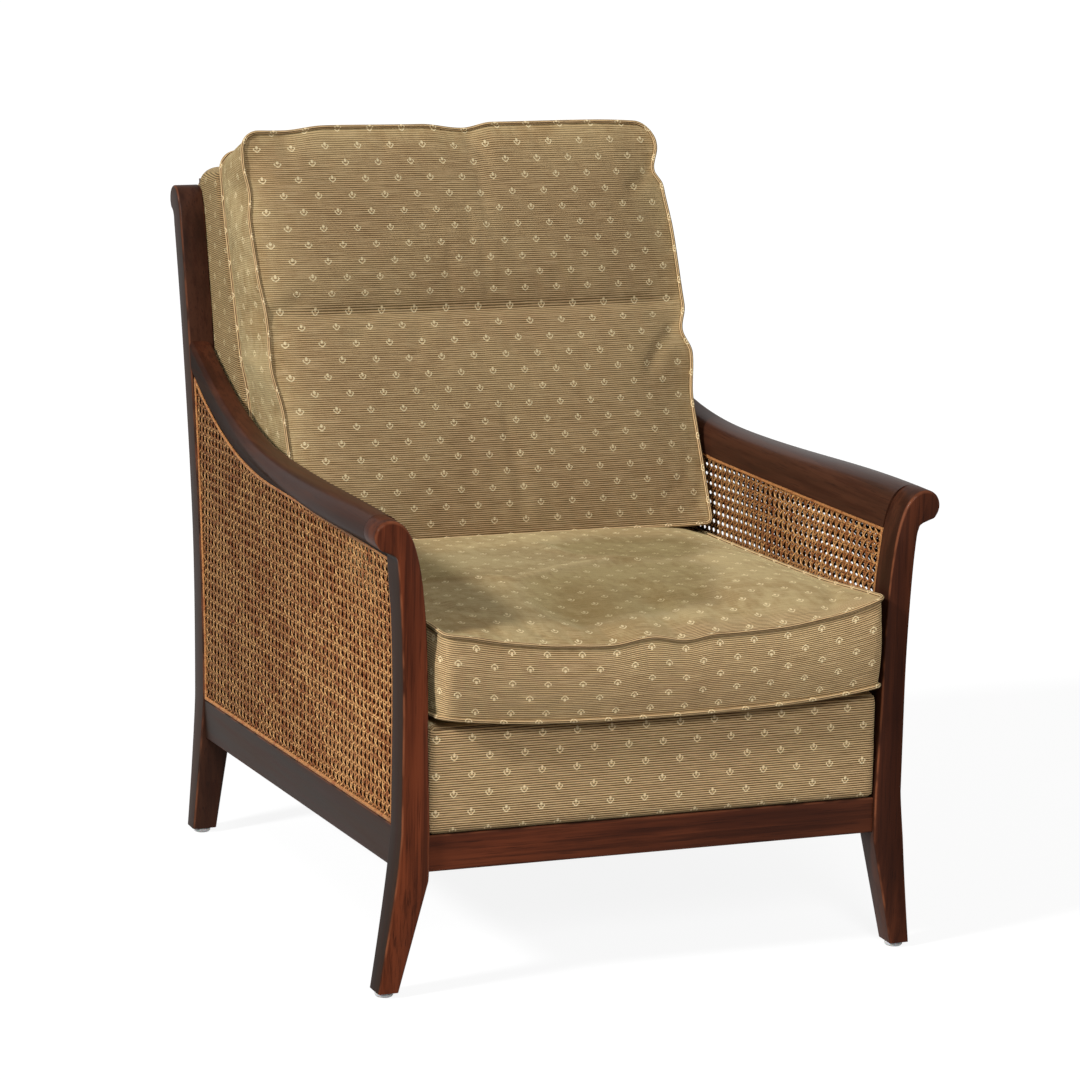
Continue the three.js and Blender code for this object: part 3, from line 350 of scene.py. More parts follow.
# %% [markdown]
# ## The hidden timber
#
# The boards inside are beech under a thin dark stain. Their solids are right as they are.
# %% Stained beech on the frame's own boards
board = Finish("stained_beech")
board_lines = board.streaks([9, 9, 120], detail=4)
board_tone = board.blend(board.between(board_lines, 0.35, 0.65), (58, 42, 33), (88, 66, 50))
board_colour = board.fleck(board_tone, board.streaks(240, detail=1), 0.62, 0.7, 0.4, (40, 28, 22))
stained_beech = board.use(board_colour, board.ramp(board_lines, 0.3, 0.7, 0.55, 0.7), board_lines, 0.0002, 0.4)

board_names = ("seat_box", "corner_block", "back_stile", "back_top", "back_bottom")
boards = [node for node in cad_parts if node.startswith(board_names)]
for node in boards:
    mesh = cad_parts[node].data
    mesh.materials.clear()
    mesh.materials.append(stained_beech)
print("boards with their finish:", len(boards))

# %% [markdown]
# ## Bars with rounded arrises
#
# Posts and rails are bars: two outlines run side by side, and a third direction gives the thickness. Each ring of
# points goes round a rectangle whose corners are quarter circles. Numbers along a ring say which face a point
# belongs to.
# %% Rings round a bar
quarter = np.linspace(0, math.pi / 2, 6)
leave, reach = 1 - np.cos(quarter), 1 - np.sin(quarter)
ring_along = np.ravel([leave, reach] * 2)
ring_depth = np.ravel([reach, leave] * 2)
far_along = np.repeat([0, 1, 1, 0], len(quarter))
far_depth = np.repeat([0, 0, 1, 1], len(quarter))
ring_wear = np.tile(np.sin(2 * quarter), 4)
gone = quarter / quarter[-1]
zero = 0 * gone
ring_first = np.concatenate([1 - gone, zero, zero, gone])
ring_low = np.concatenate([gone, 1 - gone, zero, zero])


def bar_rings(first, second, low, high, radius):
    """Rings between two outlines. A point lies in from its own outline by radius times one less the cosine, and
    in from the low or high face by radius times one less the sine, and the other way at the next corner."""
    across = second - first
    width = np.linalg.norm(across, axis=1, keepdims=True)
    radius = np.minimum(radius, width / 3)
    start = np.where(far_along[:, None], second[:, None], first[:, None])
    step = np.where(far_along[:, None], -1, 1) * (across / width)[:, None]
    outline = start + step * (radius * ring_along)[..., None]
    height = outline[..., 1]
    depth = np.where(far_depth, high(height) - radius * ring_depth, low(height) + radius * ring_depth)
    return outline[..., 0], depth, height


def curve(a, b, c, d, t):
    """A cubic curve: the four points weighted by the terms of (1 - t) + t, cubed."""
    return (1 - t) ** 3 * a + 3 * (1 - t) ** 2 * t * b + 3 * (1 - t) * t**2 * c + t**3 * d


def bezier(a, b, c, d, steps):
    """The same curve in equal steps of t."""
    return curve(a, b, c, d, np.linspace(0, 1, steps + 1)[:, None])


def show_wood(name, rings, finish, pair=True, **marks):
    """A bar of show wood, or a pair of them, with its marks spread over its rings."""
    points, faces = closed_loft(rings)
    more = {"marks": {mark: np.broadcast_to(value, rings.shape[:2]) for mark, value in marks.items()}, "sharp": 40}
    if pair:
        both_sides(name, points, faces, finish, "mahogany", **more)
    else:
        make_piece(f"{name}_look", points, faces, finish, "chair_frame", "mahogany", replaces=(name,), **more)
    print(f"{name}:", len(points), "points, top at", round(points[:, 2].max(), 4), "m")


# %% [markdown]
# ## Front posts
#
# The foot sweeps out, the waist is slim, and the head leans outwards and rolls over. The inner outline is the
# leg, a curve up to the crest and an arc round the roll; the outer one is the leg, a stem and the cove under the
# roll.
# %% Front posts
half_outer, post_inner, neck, underside = 317.8, 283.4, 308.0, 516.0
knee, waist, foot_end = 142, 200, 7
roll_stop, cove_stop = math.radians(-50.5), math.radians(-60)


def outer_face(z, waist, splay):
    """The leg's outside: it leaves the post's face below the waist with a power of 1.2."""
    return half_outer + splay * np.maximum(0, 1 - z / waist) ** 1.2


def inner_face(z, knee, splay):
    """The leg's inside: a straight splay below the knee."""
    return post_inner + splay * np.maximum(0, 1 - z / knee)


def roll_arc(centre, radius, steps):
    """An arc from the crest, at a quarter turn, down to the roll's stop."""
    angles = np.linspace(math.pi / 2, roll_stop, steps + 1)[1:]
    return centre + radius * beside(np.cos(angles), np.sin(angles))


def cove(stem, centre, radius, steps):
    """A hollow from the stem, going straight up, into the roll at the cove's stop, tangent to it."""
    tip = centre + radius * np.array([math.cos(cove_stop), math.sin(cove_stop)])
    reach = 0.42 * np.linalg.norm(tip - stem)
    before = tip + reach * np.array([math.sin(cove_stop), -math.cos(cove_stop)])
    return bezier(stem, stem + [0, reach], before, tip, steps)[1:]


roll_radius = 18.5
crest = np.array([336.2, 566.0])
roll_centre = crest - [0, roll_radius]
leg = np.linspace(foot_end, waist, 30)
foot = np.array([post_inner + 3.6, neck])
span = crest - foot
head_in = bezier(foot, foot + span * [0.04, 0.705], foot + span * [0.245, 1], crest, 36)
stem_height = neck + (head_in[:, 1] - neck) * (underside - neck) / (crest[1] - neck)
stem_out = beside(half_outer + 8.5 * ((stem_height - neck) / (underside - neck)) ** 2.2, stem_height)
inner_line = np.concatenate([
    beside(inner_face(leg, knee, 33.5), leg), head_in, roll_arc(roll_centre, roll_radius, 26)])
outer_line = np.concatenate([
    beside(outer_face(leg, waist, 23.5), leg), stem_out, cove(stem_out[-1], roll_centre, roll_radius, 26)])


def leg_share(z):
    """1 at the floor, 0 from the knee up."""
    return np.clip(1 - z / knee, 0, 1)


head = inner_line[:, 1:]
arris = mix(2.6, 4.2, smooth((head - 430) / 130)) * np.where(far_depth, mix(1, 0.12, smooth((head - 490) / 24)), 1)
x, y, z = bar_rings(
    inner_line, outer_line, lambda z: mix(-20, -10, leg_share(z)), lambda z: mix(20, 22, leg_share(z)), arris)
show_wood(
    "front_post", in_metres(x, y, z), mahogany_upright,
    wear=ring_wear * np.where(far_depth, 0.2, 1),
    faded=ring_low + 0.45 * ring_first,
    polish=mix(0.25, 0.45, smooth((z - 480) / 60)),
    dull=0.7 * np.maximum(far_along, smooth((z - 530) / 25)))

# %% [markdown]
# ## Back posts
#
# They come forward at the foot, lean back more and more above the seat, and end in a small roll to the rear. Here
# the outlines lie in the side view, and the third direction is across the chair.
# %% Back posts
back_waist = 175


def back_front(z):
    """The back posts' front line: forward at the foot, and leaning back above the waist with a power of 1.6."""
    forwards = 24 * np.maximum(0, 1 - z / back_waist) ** 1.2
    return 752 - forwards + 124 * np.maximum(0, (z - back_waist) / 661) ** 1.6


def back_rear(z):
    """The same line plus the post's depth, which grows up to the waist and slims above it."""
    slim = 40 - 8 * smooth((z - back_waist) / 250)
    return back_front(z) + np.where(z < back_waist, mix(27, 40, z / back_waist), slim)


def climb(face, top):
    """A face's line from the foot up to a height."""
    z = np.concatenate([np.linspace(foot_end, back_waist, 24), np.linspace(back_waist, top, 60)[1:]])
    return beside(face(z), z)


back_roll, lead_start, stem_end = 16.5, 800.0, 788.5
roll = np.array([back_rear(819.5) + 8 - back_roll, 819.5])
start = np.array([back_front(lead_start), lead_start])
top = roll + [0, back_roll]
lead = bezier(start, start + (top - start) * [0.19, 0.45], start + (top - start) * [0.43, 1], top, 12)[1:]
front_line = np.concatenate([climb(back_front, lead_start), lead, roll_arc(roll, back_roll, 20)])
stem = np.array([back_rear(stem_end), stem_end])
rear_line = np.concatenate([climb(back_rear, stem_end), cove(stem, roll, back_roll, 32)])
y, x, z = bar_rings(
    front_line, rear_line, lambda z: inner_face(z, 118, 24), lambda z: outer_face(z, back_waist, 21), 2.6)
show_wood("back_post", in_metres(x, y, z), mahogany_upright,
          wear=0.6 * ring_wear, faded=0.15 * ring_first, polish=0.4 * ring_first)

# %% [markdown]
# ## Arm rails
#
# The arm takes over the front post's scroll and lets it fade to a flat sweep that climbs the back post. A section
# has four runs: the inner face up to the crest, an arc round the roll, the cove, and the flat underside.
# %% Arm rails
arm_start, joint = 20.3, 0.3


def arm_top(y):
    """The arm's top line: it dips 12 mm by half a cosine, then climbs 86 mm with a power of 2.5."""
    dip = 6 * (1 - np.cos(math.pi * np.clip(y / 450, 0, 1)))
    return 566 - dip + 86 * np.clip((y - 450) / (back_front(640.0) - 450), 0, 1) ** 2.5


def arm_under(y):
    """The arm's underside: level, then rising 74 mm with a power of 2.2 behind the sweep's start."""
    return underside + 74 * np.maximum(0, (y - 480) / (back_front(underside) - 480)) ** 2.2


def arm_fade(y):
    """How much of the scroll is left: all at the front post, none at the back post."""
    return np.clip(1 - y / back_front(underside), 0, 1)


inner_steps, roll_steps, cove_steps = 19, 16, 12


def by_run(inner, roll_first, roll_last, cove):
    """A mark along a section: level on the inner face, changing evenly over the roll, level on the cove."""
    return np.concatenate([
        np.full(inner_steps, inner), np.linspace(roll_first, roll_last, roll_steps), np.full(cove_steps, cove)])


back = np.linspace(0, 1, 90)[:, None]
y = mix(arm_start, back_front(640.0), back)
fade = arm_fade(y)
curl = smooth(fade / 0.87)
radius = mix(7, roll_radius, curl)
inside_x = 284 + 16.4 * fade**2
outside_x = half_outer + 8.5 * fade**2
crest_x = half_outer + 36.9 * curl - radius
low, high = arm_under(y), arm_top(y)
end = cove_stop * curl
t = np.linspace(0, 1, inner_steps)
inner_x = curve(inside_x, inside_x + mix(0, 0.13, fade) * (crest_x - inside_x),
                crest_x - mix(0.94, 0.64, fade) * (crest_x - inside_x), crest_x, t)
inner_z = curve(low, low + mix(0.94, 0.58, fade) * (high - low), high, high, t)
turned = math.pi / 2 + (end - math.pi / 2) * np.linspace(0, 1, roll_steps + 1)[1:]
arc_x = crest_x + radius * np.cos(turned)
arc_z = high - radius + radius * np.sin(turned)
tip_x, tip_z = arc_x[:, -1:], arc_z[:, -1:]
pull = 0.42 * np.hypot(tip_x - outside_x, tip_z - low)
s = np.linspace(1, 0, cove_steps + 1)[1:]
cove_x = curve(outside_x, outside_x, tip_x + pull * np.sin(end), tip_x, s)
cove_z = curve(low, low + pull, tip_z - pull * np.cos(end), tip_z, s)
x = np.concatenate([inner_x, arc_x, cove_x], axis=1)
z = np.concatenate([inner_z, arc_z, cove_z], axis=1)
show_wood(
    "arm_rail", in_metres(x, mix(arm_start, back_front(z) - joint, back), z), mahogany_deep,
    faded=by_run(0.34, 0.3, 0.1, 0.0), polish=by_run(0.9, 0.6, 0.1, 0.1), dull=by_run(0.2, 0.3, 0.9, 0.9))

# %% [markdown]
# ## Show rails
#
# A side rail drops a little to the rear, like the seat. A front rail shows under the border, and a rear rail
# closes the back.
# %% Side, front and rear show rails
rail_top, rail_rings = 201.0, 9


def seat_fall(y):
    """How much the seat has dropped at y: 26.8 mm over the 752 mm from front to back."""
    return 26.8 / 752 * (y - 20)


def box_ring(x0, x1, z0, z1, radius=2.6):
    """A ring round a rectangle with quarter circles at its corners."""
    ring_x = np.where(far_along, x1 - radius * ring_along, x0 + radius * ring_along)
    return ring_x, np.where(far_depth, z1 - radius * ring_depth, z0 + radius * ring_depth)


x, profile = box_ring(284.0, 316.3, 150.3, rail_top)
y = mix(arm_start, back_front(profile - 26.09) - joint, np.linspace(0, 1, rail_rings)[:, None])
show_wood("side_rail", in_metres(x, y, profile - seat_fall(y)), mahogany_deep, wear=0.5 * ring_wear)
for name, *rectangle in (("front", -14, 11, 149.7, 193.5), ("rear", 755, 780, 124.2, 174.9)):
    rings = in_metres(np.linspace(-283.1, 283.1, rail_rings)[:, None], *box_ring(*rectangle))
    show_wood(f"{name}_show_rail", rings, mahogany_across, pair=False,
              wear=0.7 * ring_wear, faded=0.9 * ring_first, polish=0.25)

# %% [markdown]
# ## Glides
#
# Each foot stands on a pale plastic glide: a disc with a rounded rim, turned about the foot's middle.
# %% Glides
plastic = Finish("glide_plastic", Roughness=0.38, Subsurface_Weight=0.15, Subsurface_Scale=0.003)
scuffs = plastic.streaks([900, 900, 300])
scuffed = plastic.blend(plastic.between(scuffs, 0.45, 0.7), (206, 208, 208), (170, 170, 166))
glide_plastic = plastic.use(scuffed, None, scuffs, 0.0001, 0.3)

rim = np.radians(np.linspace(-90, 90, 13))[:, None]
angles = np.linspace(0, 2 * math.pi, 41)[:-1]
for where in ("front", "back"):
    foot_x, foot_y, _ = middle(f"glide_{where}_right")
    disc = 8.35 + 2.65 * np.cos(rim)
    x, y = foot_x + disc * np.cos(angles), foot_y + shift_back + disc * np.sin(angles)
    points, faces = closed_loft(in_metres(x, y, 3.35 + 3.35 * np.sin(rim)))
    both_sides(f"glide_{where}", points, faces, glide_plastic, "glide")
print("glides at x", round(foot_x, 1), "and y", round(foot_y + shift_back, 1))

# %% [markdown]
# ## Cane
#
# Each side has one woven panel outside and one inside, in the usual six-way pattern: pairs of strands run up and
# along, over and under each other, and single strands run both diagonals, which turns the holes into octagons.
#
# Every strand is worked out on a flat sheet: s runs back along the rail, in millimetres, and h up from it. Its
# height off the sheet is a wave that says what it passes over. Two marks go with it: a tone for each strand, and
# how deep in the weave a point lies, which paints shade: the low points under the crossings, the strands' edges
# and the inner panel are painted darker, and the panel is darker towards the rear.
# %% Strands of a caned panel
pitch_s, pitch_h, pair_half = 14.1, 11.9, 1.45
strand_half, strand_thick, weave_height = 1.15, 0.75, 0.5
cane_start, cane_gap = 20.6, 0.8


def cane_height(s, h):
    """z of a sheet's point."""
    return rail_top - seat_fall(cane_start + s) + h


def inside_panel(s, h):
    """Whether a point lies between the rail, the arm, the front post and the leaning back post."""
    y = cane_start + s
    high = arm_under(y) - rail_top + seat_fall(y) - cane_gap
    return (h > cane_gap) & (h < high) & (s > cane_gap) & (y < back_front(cane_height(s, h)) - 1.1)


def strand_family(start_s, start_h, step_s, step_h, steps, wave, tone):
    """Sections of parallel strands. A section is four points across the strand: its two edges, and its skin
    raised by the strand's thickness. The wave gives each section's height off the sheet."""
    k = np.arange(steps)
    s, h = start_s[:, None] + step_s * k, start_h + step_h * k
    side_s, side_h = np.array([-step_h, step_s]) / math.hypot(step_s, step_h)
    across = np.array([-1, -0.55, 0.55, 1]) * strand_half
    s, h = np.broadcast_arrays(s, h)
    off = wave(s, h)[..., None]
    points = beside(s[..., None] + side_s * across, h[..., None] + side_h * across,
                    off + np.array([0, 1, 1, 0]) * strand_thick)
    # Painted shade: points low in the weave and on the strands' edges are darker; the panel is darker towards the rear.
    deep = 0.3 - 0.4 * off + 0.4 * smooth(s / 700)[..., None] + np.array([1, 0, 0, 1])
    tones = np.broadcast_to(tone[:, None, None], deep.shape)
    return points.reshape(-1, 3), inside_panel(s, h), tones.ravel(), np.clip(deep, 0, 1).ravel()


def strand_faces(keep, start):
    """Quads between kept sections of one strand, and a quad that closes each run at its two ends."""
    rows, steps = keep.shape
    base = start + (np.arange(rows)[:, None] * steps + np.arange(steps)) * 4
    both = keep[:, :-1] & keep[:, 1:]
    here, there = base[:, :-1][both], base[:, 1:][both]
    walls = [beside(here + a, here + b, there + b, there + a) for a, b in ((0, 1), (1, 2), (2, 3), (3, 0))]
    padded = np.pad(keep, ((0, 0), (1, 1)))
    before, after = padded[:, :-2] & keep, padded[:, 2:] & keep
    first, last = base[keep & ~before & after], base[keep & ~after & before]
    ends = [beside(*(first + i for i in (3, 2, 1, 0))), beside(*(last + i for i in range(4)))]
    return np.concatenate(walls + ends)


def woven_panel(seed):
    """All strands of one panel: points as s, h and height, faces, and each point's tone and depth in the weave."""
    random = np.random.default_rng(seed)
    columns, rows = int(820 / pitch_s), int(420 / pitch_h)

    def bump(value, pitch):
        """A cosine over the pitch, highest where the pairs lie."""
        return np.cos(2 * math.pi * (value / pitch - 0.5))

    def taking_turns(s):
        """-1 and 1 for the two strands of a pair."""
        return np.where(np.arange(len(s)) % 2, 1, -1)[:, None]

    def paired(count, pitch):
        """The places of a family of pairs."""
        return (np.repeat(np.arange(count), 2) + 0.5) * pitch + np.tile([-pair_half, pair_half], count)

    def slanting(rising):
        """Over the upright pairs and under the level ones for one diagonal, the other way for the other."""
        return lambda s, h: rising * 0.95 * bump(s, pitch_s) + 0.15

    up, along = paired(columns, pitch_s), paired(rows, pitch_h)
    starts = np.arange(-rows, columns) + 0.5
    families = [
        (up, 0, 0, pitch_h / 2, 2 * rows, lambda s, h: weave_height * taking_turns(s) * bump(h, pitch_h)),
        (0 * along, along[:, None], pitch_s / 2, 0, 2 * columns,
         lambda s, h: -weave_height * taking_turns(s) * bump(s, pitch_s) + 0.1),
        (starts * pitch_s, 0, pitch_s / 4, pitch_h / 4, 4 * rows, slanting(1)),
        ((starts + rows) * pitch_s, 0, -pitch_s / 4, pitch_h / 4, 4 * rows, slanting(-1)),
    ]
    parts, faces, count = [], [], 0
    for family in families:
        points, keep, tones, deep = strand_family(*family, random.random(len(family[0])))
        faces.append(strand_faces(keep, count))
        parts.append((points, tones, deep))
        count += len(points)
    points, tones, deep = (np.concatenate(part) for part in zip(*parts))
    used, faces = np.unique(np.concatenate(faces), return_inverse=True)
    return points[used], faces.reshape(-1, 4), tones[used], deep[used]


# %% [markdown]
# The two sheets hang where the solids' nets are. Both lean out, the outer one with the arm and the inner one with
# the post's head, and their skins face out of the chair and into it.
# %% Hang the panels


def outer_lean(z):
    """How far the outer sheet leans out: 8.5 mm at the arm, by a power of 2.2."""
    return 8.5 * np.clip((z - neck) / (underside - neck), 0, 1) ** 2.2


def inner_lean(z):
    """How far the inner sheet leans out: 17 mm at the arm, by the same power from the front leg's waist."""
    return 17 * np.maximum(0, (z - waist) / (underside - waist)) ** 2.2


def hang(y, z, face_x, lean, off):
    """Metres of a sheet's points: x is the face plus the lean, as far as the arm's scroll is left, plus the height
    off the sheet."""
    return in_metres(face_x + lean(z) * arm_fade(y) ** 2 + off, y, z)


rattan = Finish("rattan", Specular_IOR_Level=0.05)
specks = rattan.streaks(700, detail=2)
rattan_mid = rattan.blend(rattan.mark("tone"), (158, 94, 50), (246, 188, 122))
rattan_red = rattan.fleck(rattan_mid, rattan.streaks(70), 0.5, 0.68, 0.6, (146, 72, 40))
rattan_dark = rattan.fleck(rattan_red, specks, 0.52, 0.66, 0.75, (84, 48, 26))
# Painted shade: by its deep mark the cane goes towards near black.
rattan_shaded = rattan.blend(rattan.times(rattan.mark("deep"), 0.96), rattan_dark, (26, 14, 8))
cane_finish = rattan.use(rattan_shaded, rattan.ramp(specks, 0.3, 0.7, 0.38, 0.6), specks, 0.0002, 0.5)

# The inner panel's dust number paints it darker, as the shade in the hollow between the two panels.
for layer, face_x, lean, outwards, seed, dust in (
    ("outer", 313.5, outer_lean, 1, 11, 0), ("inner", 287.5, inner_lean, -1, 12, 0.15),
):
    points, faces, tones, deep = woven_panel(seed)
    s, h, off = points.T
    hung = hang(cane_start + s, cane_height(s, h), face_x, lean, outwards * off)
    both_sides(f"cane_{layer}", hung, faces, cane_finish, "cane",
               marks={"tone": tones, "deep": np.clip(deep + dust, 0, 1)})
    print(layer, "panel:", len(faces), "quads on each side")

# %% [markdown]
# ## The reed round the cane
#
# The cane's edge is held in its groove by a glued reed, a flattened half-round strip that is mitred at the corners.
# %% Reeds


def panel_side(steps, s_ends, t_ends):
    """One side of the path in shares of the panel, without its last point."""
    return beside(np.linspace(*s_ends, steps), np.linspace(*t_ends, steps))[:-1]


def panel_place(s, t, margin):
    """y and z of the panel's point at shares s and t, held off its edges by the margin."""
    nominal = mix(cane_start, 752, s)
    z = mix(rail_top - seat_fall(nominal) + margin, arm_under(nominal) - margin, t)
    y = mix(cane_start + margin, back_front(z) - joint - margin, s)
    return y, mix(rail_top - seat_fall(y) + margin, arm_under(y) - margin, t)


path = np.concatenate([
    panel_side(60, (0, 1), (1, 1)), panel_side(24, (1, 1), (1, 0)),
    panel_side(30, (1, 0), (0, 0)), panel_side(24, (0, 0), (0, 1))])
reed_half = 2.5
bend = np.linspace(0, math.pi, 9)
y, z = panel_place(path[:, :1], path[:, 1:], joint + reed_half + reed_half * np.cos(bend)[::-1])
rows, columns = z.shape
faces = grid_quads(rows + 1, columns, around=True) % z.size
for layer, face_x, lean, outwards in (("outer", 314.9, outer_lean, 1), ("inner", 286.3, inner_lean, -1)):
    points = hang(y, z, face_x, lean, outwards * 2.0 * np.sin(bend))
    both_sides(f"cane_spline_{layer}", points, faces, cane_finish, "cane",
               marks={"tone": np.full(z.size, 0.3), "deep": np.full(z.size, 0.25)})
print("reed sections:", rows)

# %% [markdown]
# ## The cloth
#
# One cloth covers everything soft: a chenille with ribs 2.8 mm apart and a small cream sprig, a bud over two
# leaves, in a half-drop of 43 by 44 mm. The pattern follows each piece's own cloth coordinates in metres: u along
# the ribs, v across them. The rib is an uneven wave of v. The sprig is made of distances: an ellipse for the bud,
# and the lower part of a ring that is pointed below for the leaves.
# %% Ribbed chenille with a sprig
rib_pitch, sprig_across, sprig_up = 0.0028, 0.0433, 0.04375


def sprig(cloth, u, v, drop):
    """1 on the motif, 0 off it, for the plain or the half-dropped rows. The place in its own cell is the
    fraction of u and v over the repeat, less a half, in millimetres."""

    def in_cell(value, repeat):
        shifted = cloth.times_plus(value, 1 / repeat, 0.5 * drop)
        return cloth.times(cloth.work("SUBTRACT", cloth.work("FRACT", shifted), 0.5), repeat * 1000)

    def raised(value, size, power):
        """The value over the size, to a power."""
        return cloth.work("POWER", cloth.work("DIVIDE", value, size), power)

    x, y = cloth.work("ABSOLUTE", in_cell(u, sprig_across)), in_cell(v, sprig_up)
    bud_up = cloth.work("POWER", cloth.times_plus(y, 1 / 2.5, -2.0 / 2.5), 2.0)
    bud = cloth.between(cloth.work("ADD", raised(x, 1.6, 2.0), bud_up), 1.25, 0.75)
    ring = cloth.work("ADD", raised(x, 4.0, 1.35), raised(cloth.work("ABSOLUTE", y), 4.2, 1.35))
    off_leaf = cloth.work("ABSOLUTE", cloth.work("SUBTRACT", ring, 1.0))
    leaf = cloth.times(cloth.between(off_leaf, 0.34, 0.16), cloth.between(y, 2.0, 1.2))
    return cloth.work("MAXIMUM", bud, leaf)


def chenille(name, with_sprig=True, light=1.0):
    """The covering cloth, from its own coordinates. Where it is marked as combed, the pile lies over
    the ribs. By its mark of painted light and pile it is up to 30 % lighter, or darker and browner where the mark
    is negative: the mark paints light and shade on the cloth, and on the seat's top also pile combed by sitting."""
    cloth = Finish(name, cloth=True, Roughness=0.88, Sheen_Weight=0.35, Sheen_Roughness=0.45,
                   Sheen_Tint=tint(222, 210, 160), Specular_IOR_Level=0.1)

    def lit_blend(share, *colours):
        """Between two screen colours, both times the light."""
        return cloth.blend(share, *(tuple(value * light for value in colour) for colour in colours))

    u, v, _ = cloth.add("SeparateXYZ", cloth.place).node.outputs
    wobbling = cloth.work("ADD", v, cloth.times(cloth.streaks([30, 90, 1], detail=2), 0.0005))
    wave = cloth.work("SINE", cloth.times(wobbling, 2 * math.pi / rib_pitch))
    rib = cloth.times_plus(wave, 0.5, 0.5)
    threads = cloth.streaks([24, 720, 1], rough=0.6)
    pile = cloth.streaks([900, 900, 1], detail=2)
    brushed = cloth.streaks([7, 9, 1], detail=2)
    mottled = cloth.times_plus(cloth.streaks([90, 45, 1]), 0.7, brushed)
    deep = lit_blend(brushed, (60, 42, 26), (68, 51, 31))
    high = lit_blend(brushed, (190, 156, 115), (196, 166, 119))
    pale = lit_blend(cloth.between(mottled, 0.7, 1.0), (138, 114, 74), (169, 150, 108))
    colour = cloth.blend(cloth.mark("combed"), cloth.blend(cloth.between(rib, 0.1, 0.8), deep, high), pale)
    colour = cloth.fleck(colour, threads, 0.5, 0.68, 0.5, (184, 160, 122))
    colour = cloth.fleck(colour, threads, 0.46, 0.3, 0.45, (96, 72, 46))
    colour = cloth.fleck(colour, pile, 0.5, 0.7, 0.3, (92, 72, 46))
    height = cloth.times_plus(pile, 0.35, rib)
    if with_sprig:
        motif = cloth.work("MAXIMUM", sprig(cloth, u, v, 0), sprig(cloth, u, v, 1))
        colour = cloth.blend(cloth.times(motif, cloth.ramp(pile, 0.35, 0.6, 1.0, 0.7)), colour, (216, 197, 156))
        height = cloth.times_plus(motif, 0.5, height)
    fresh = cloth.mark("fresh")
    richness, lightness = cloth.ramp(fresh, -1.6, -0.7, 1.15, 1.0), cloth.times_plus(fresh, 0.3, 1.0)
    return cloth.use(cloth.add("HueSaturation", None, richness, lightness, None, colour), None, height, 0.0006, 0.7)


cover_cloth = chenille("chenille_sprig")
plain_cloth = chenille("chenille_plain", with_sprig=False, light=0.92)
print("cloth nodes:", len(cover_cloth.node_tree.nodes))

# %% [markdown]
# ## A box of cloth
#
# Soft pieces are boxes whose six sides were sewn along the edges. A box's skin is a lattice: each point has three
# shares from -1 to 1, across, back and up, and each quad knows its side, so that the sides can have their own
# cloth coordinates.
# %% The skin of a box


def box_skin(across, back, up):
    """Shares of the lattice points on a box's surface, its quads, and each quad's side: 0 and 1 for the left
    and right, 2 and 3 for the front and rear, 4 and 5 for the underside and top."""
    cells = np.array([across, back, up])
    quads, sides = [], []
    for axis in range(3):
        p, q = (axis + 1) % 3, (axis + 2) % 3
        i, j = np.meshgrid(np.arange(cells[p]), np.arange(cells[q]), indexing="ij")
        for end in (0, 1):
            turn = ((0, 0), (1, 0), (1, 1), (0, 1)) if end else ((0, 0), (0, 1), (1, 1), (1, 0))
            corner = np.zeros((i.size, 4, 3), int)
            corner[..., axis] = end * cells[axis]
            for k, (di, dj) in enumerate(turn):
                corner[:, k, p] = (i + di).ravel()
                corner[:, k, q] = (j + dj).ravel()
            quads.append(corner)
            sides.append(np.full(i.size, 2 * axis + end))
    quads, sides = np.concatenate(quads), np.concatenate(sides)
    keys, faces = np.unique(quads @ [1, 1000, 1000000], return_inverse=True)
    lattice = beside(keys % 1000, keys // 1000 % 1000, keys // 1000000)
    return 2 * lattice / cells - 1, faces.reshape(-1, 4), sides


def side_cloth(place, faces, sides, cuts):
    """Cloth coordinates for each corner of each quad. A side's cut says which two of the place's numbers it
    reads, their signs, and a shift in metres."""
    uv = np.zeros((len(faces), 4, 2))
    for side, (axes, signs, shift) in enumerate(cuts):
        uv[sides == side] = place[faces[sides == side]][..., axes] * signs + shift
    return uv.reshape(-1, 2)


def rounded(points, half, radius):
    """Points of a box pulled onto its rounded form: the nearest point of the box drawn in by the radius, plus
    the radius along the way from there."""
    core = np.clip(points, -(half - radius), half - radius)
    away = points - core
    length = np.maximum(np.linalg.norm(away / np.maximum(radius, 1e-6), axis=-1, keepdims=True), 1)
    return core + away / length


def upholster(name, x, y, z, place, faces, sides, fresh, replaces):
    """A fixed padded piece, its cloth wrapped round it from an upright front."""
    cuts = [([2, 1], 1, 0)] * 2 + [([0, 1], 1, 0)] * 2 + [([0, 2], 1, 0)] * 2
    piece = make_piece(name, in_metres(x, y, z), faces, cover_cloth, "chair_frame", "upholstery",
                       uv=side_cloth(place / 1000, faces, sides, cuts), marks={"fresh": fresh}, replaces=replaces)
    print(f"{name}:", len(faces), "quads, top at", round(z.max(), 1), "mm")


# %% [markdown]
# ## The upholstered front border
#
# The cloth goes over a thin pad on the front board: a box with soft edges, 2 mm prouder in its middle.
# %% Front border
shares, faces, sides = box_skin(96, 8, 22)
half = np.array([282.9, 23.0, 64.35])
u, v, w = shares.T
radius = beside(5.0, np.where(w > 0, 11.0, 7.0), np.where(w > 0, 15.0, 9.0))
x, y, z = rounded(shares * half, half, radius).T
tuck = 1.1 * np.exp(-((np.abs(u) - 1) / 0.03) ** 2) * np.sin(z / 7.0)
y = 7.0 + y - 2.0 * (1 - u**4) * (1 - w**4) * np.clip(-v, 0, 1)
z = 258.15 + z + 0.25 * tuck
# The border is painted 30 % lighter all over, as painted light.
upholster("front_border", x, y, z, beside(x + 232.5, z - 307.0, y), faces, sides, np.ones(len(u)),
          ("front_border_cover", "front_border_pad"))

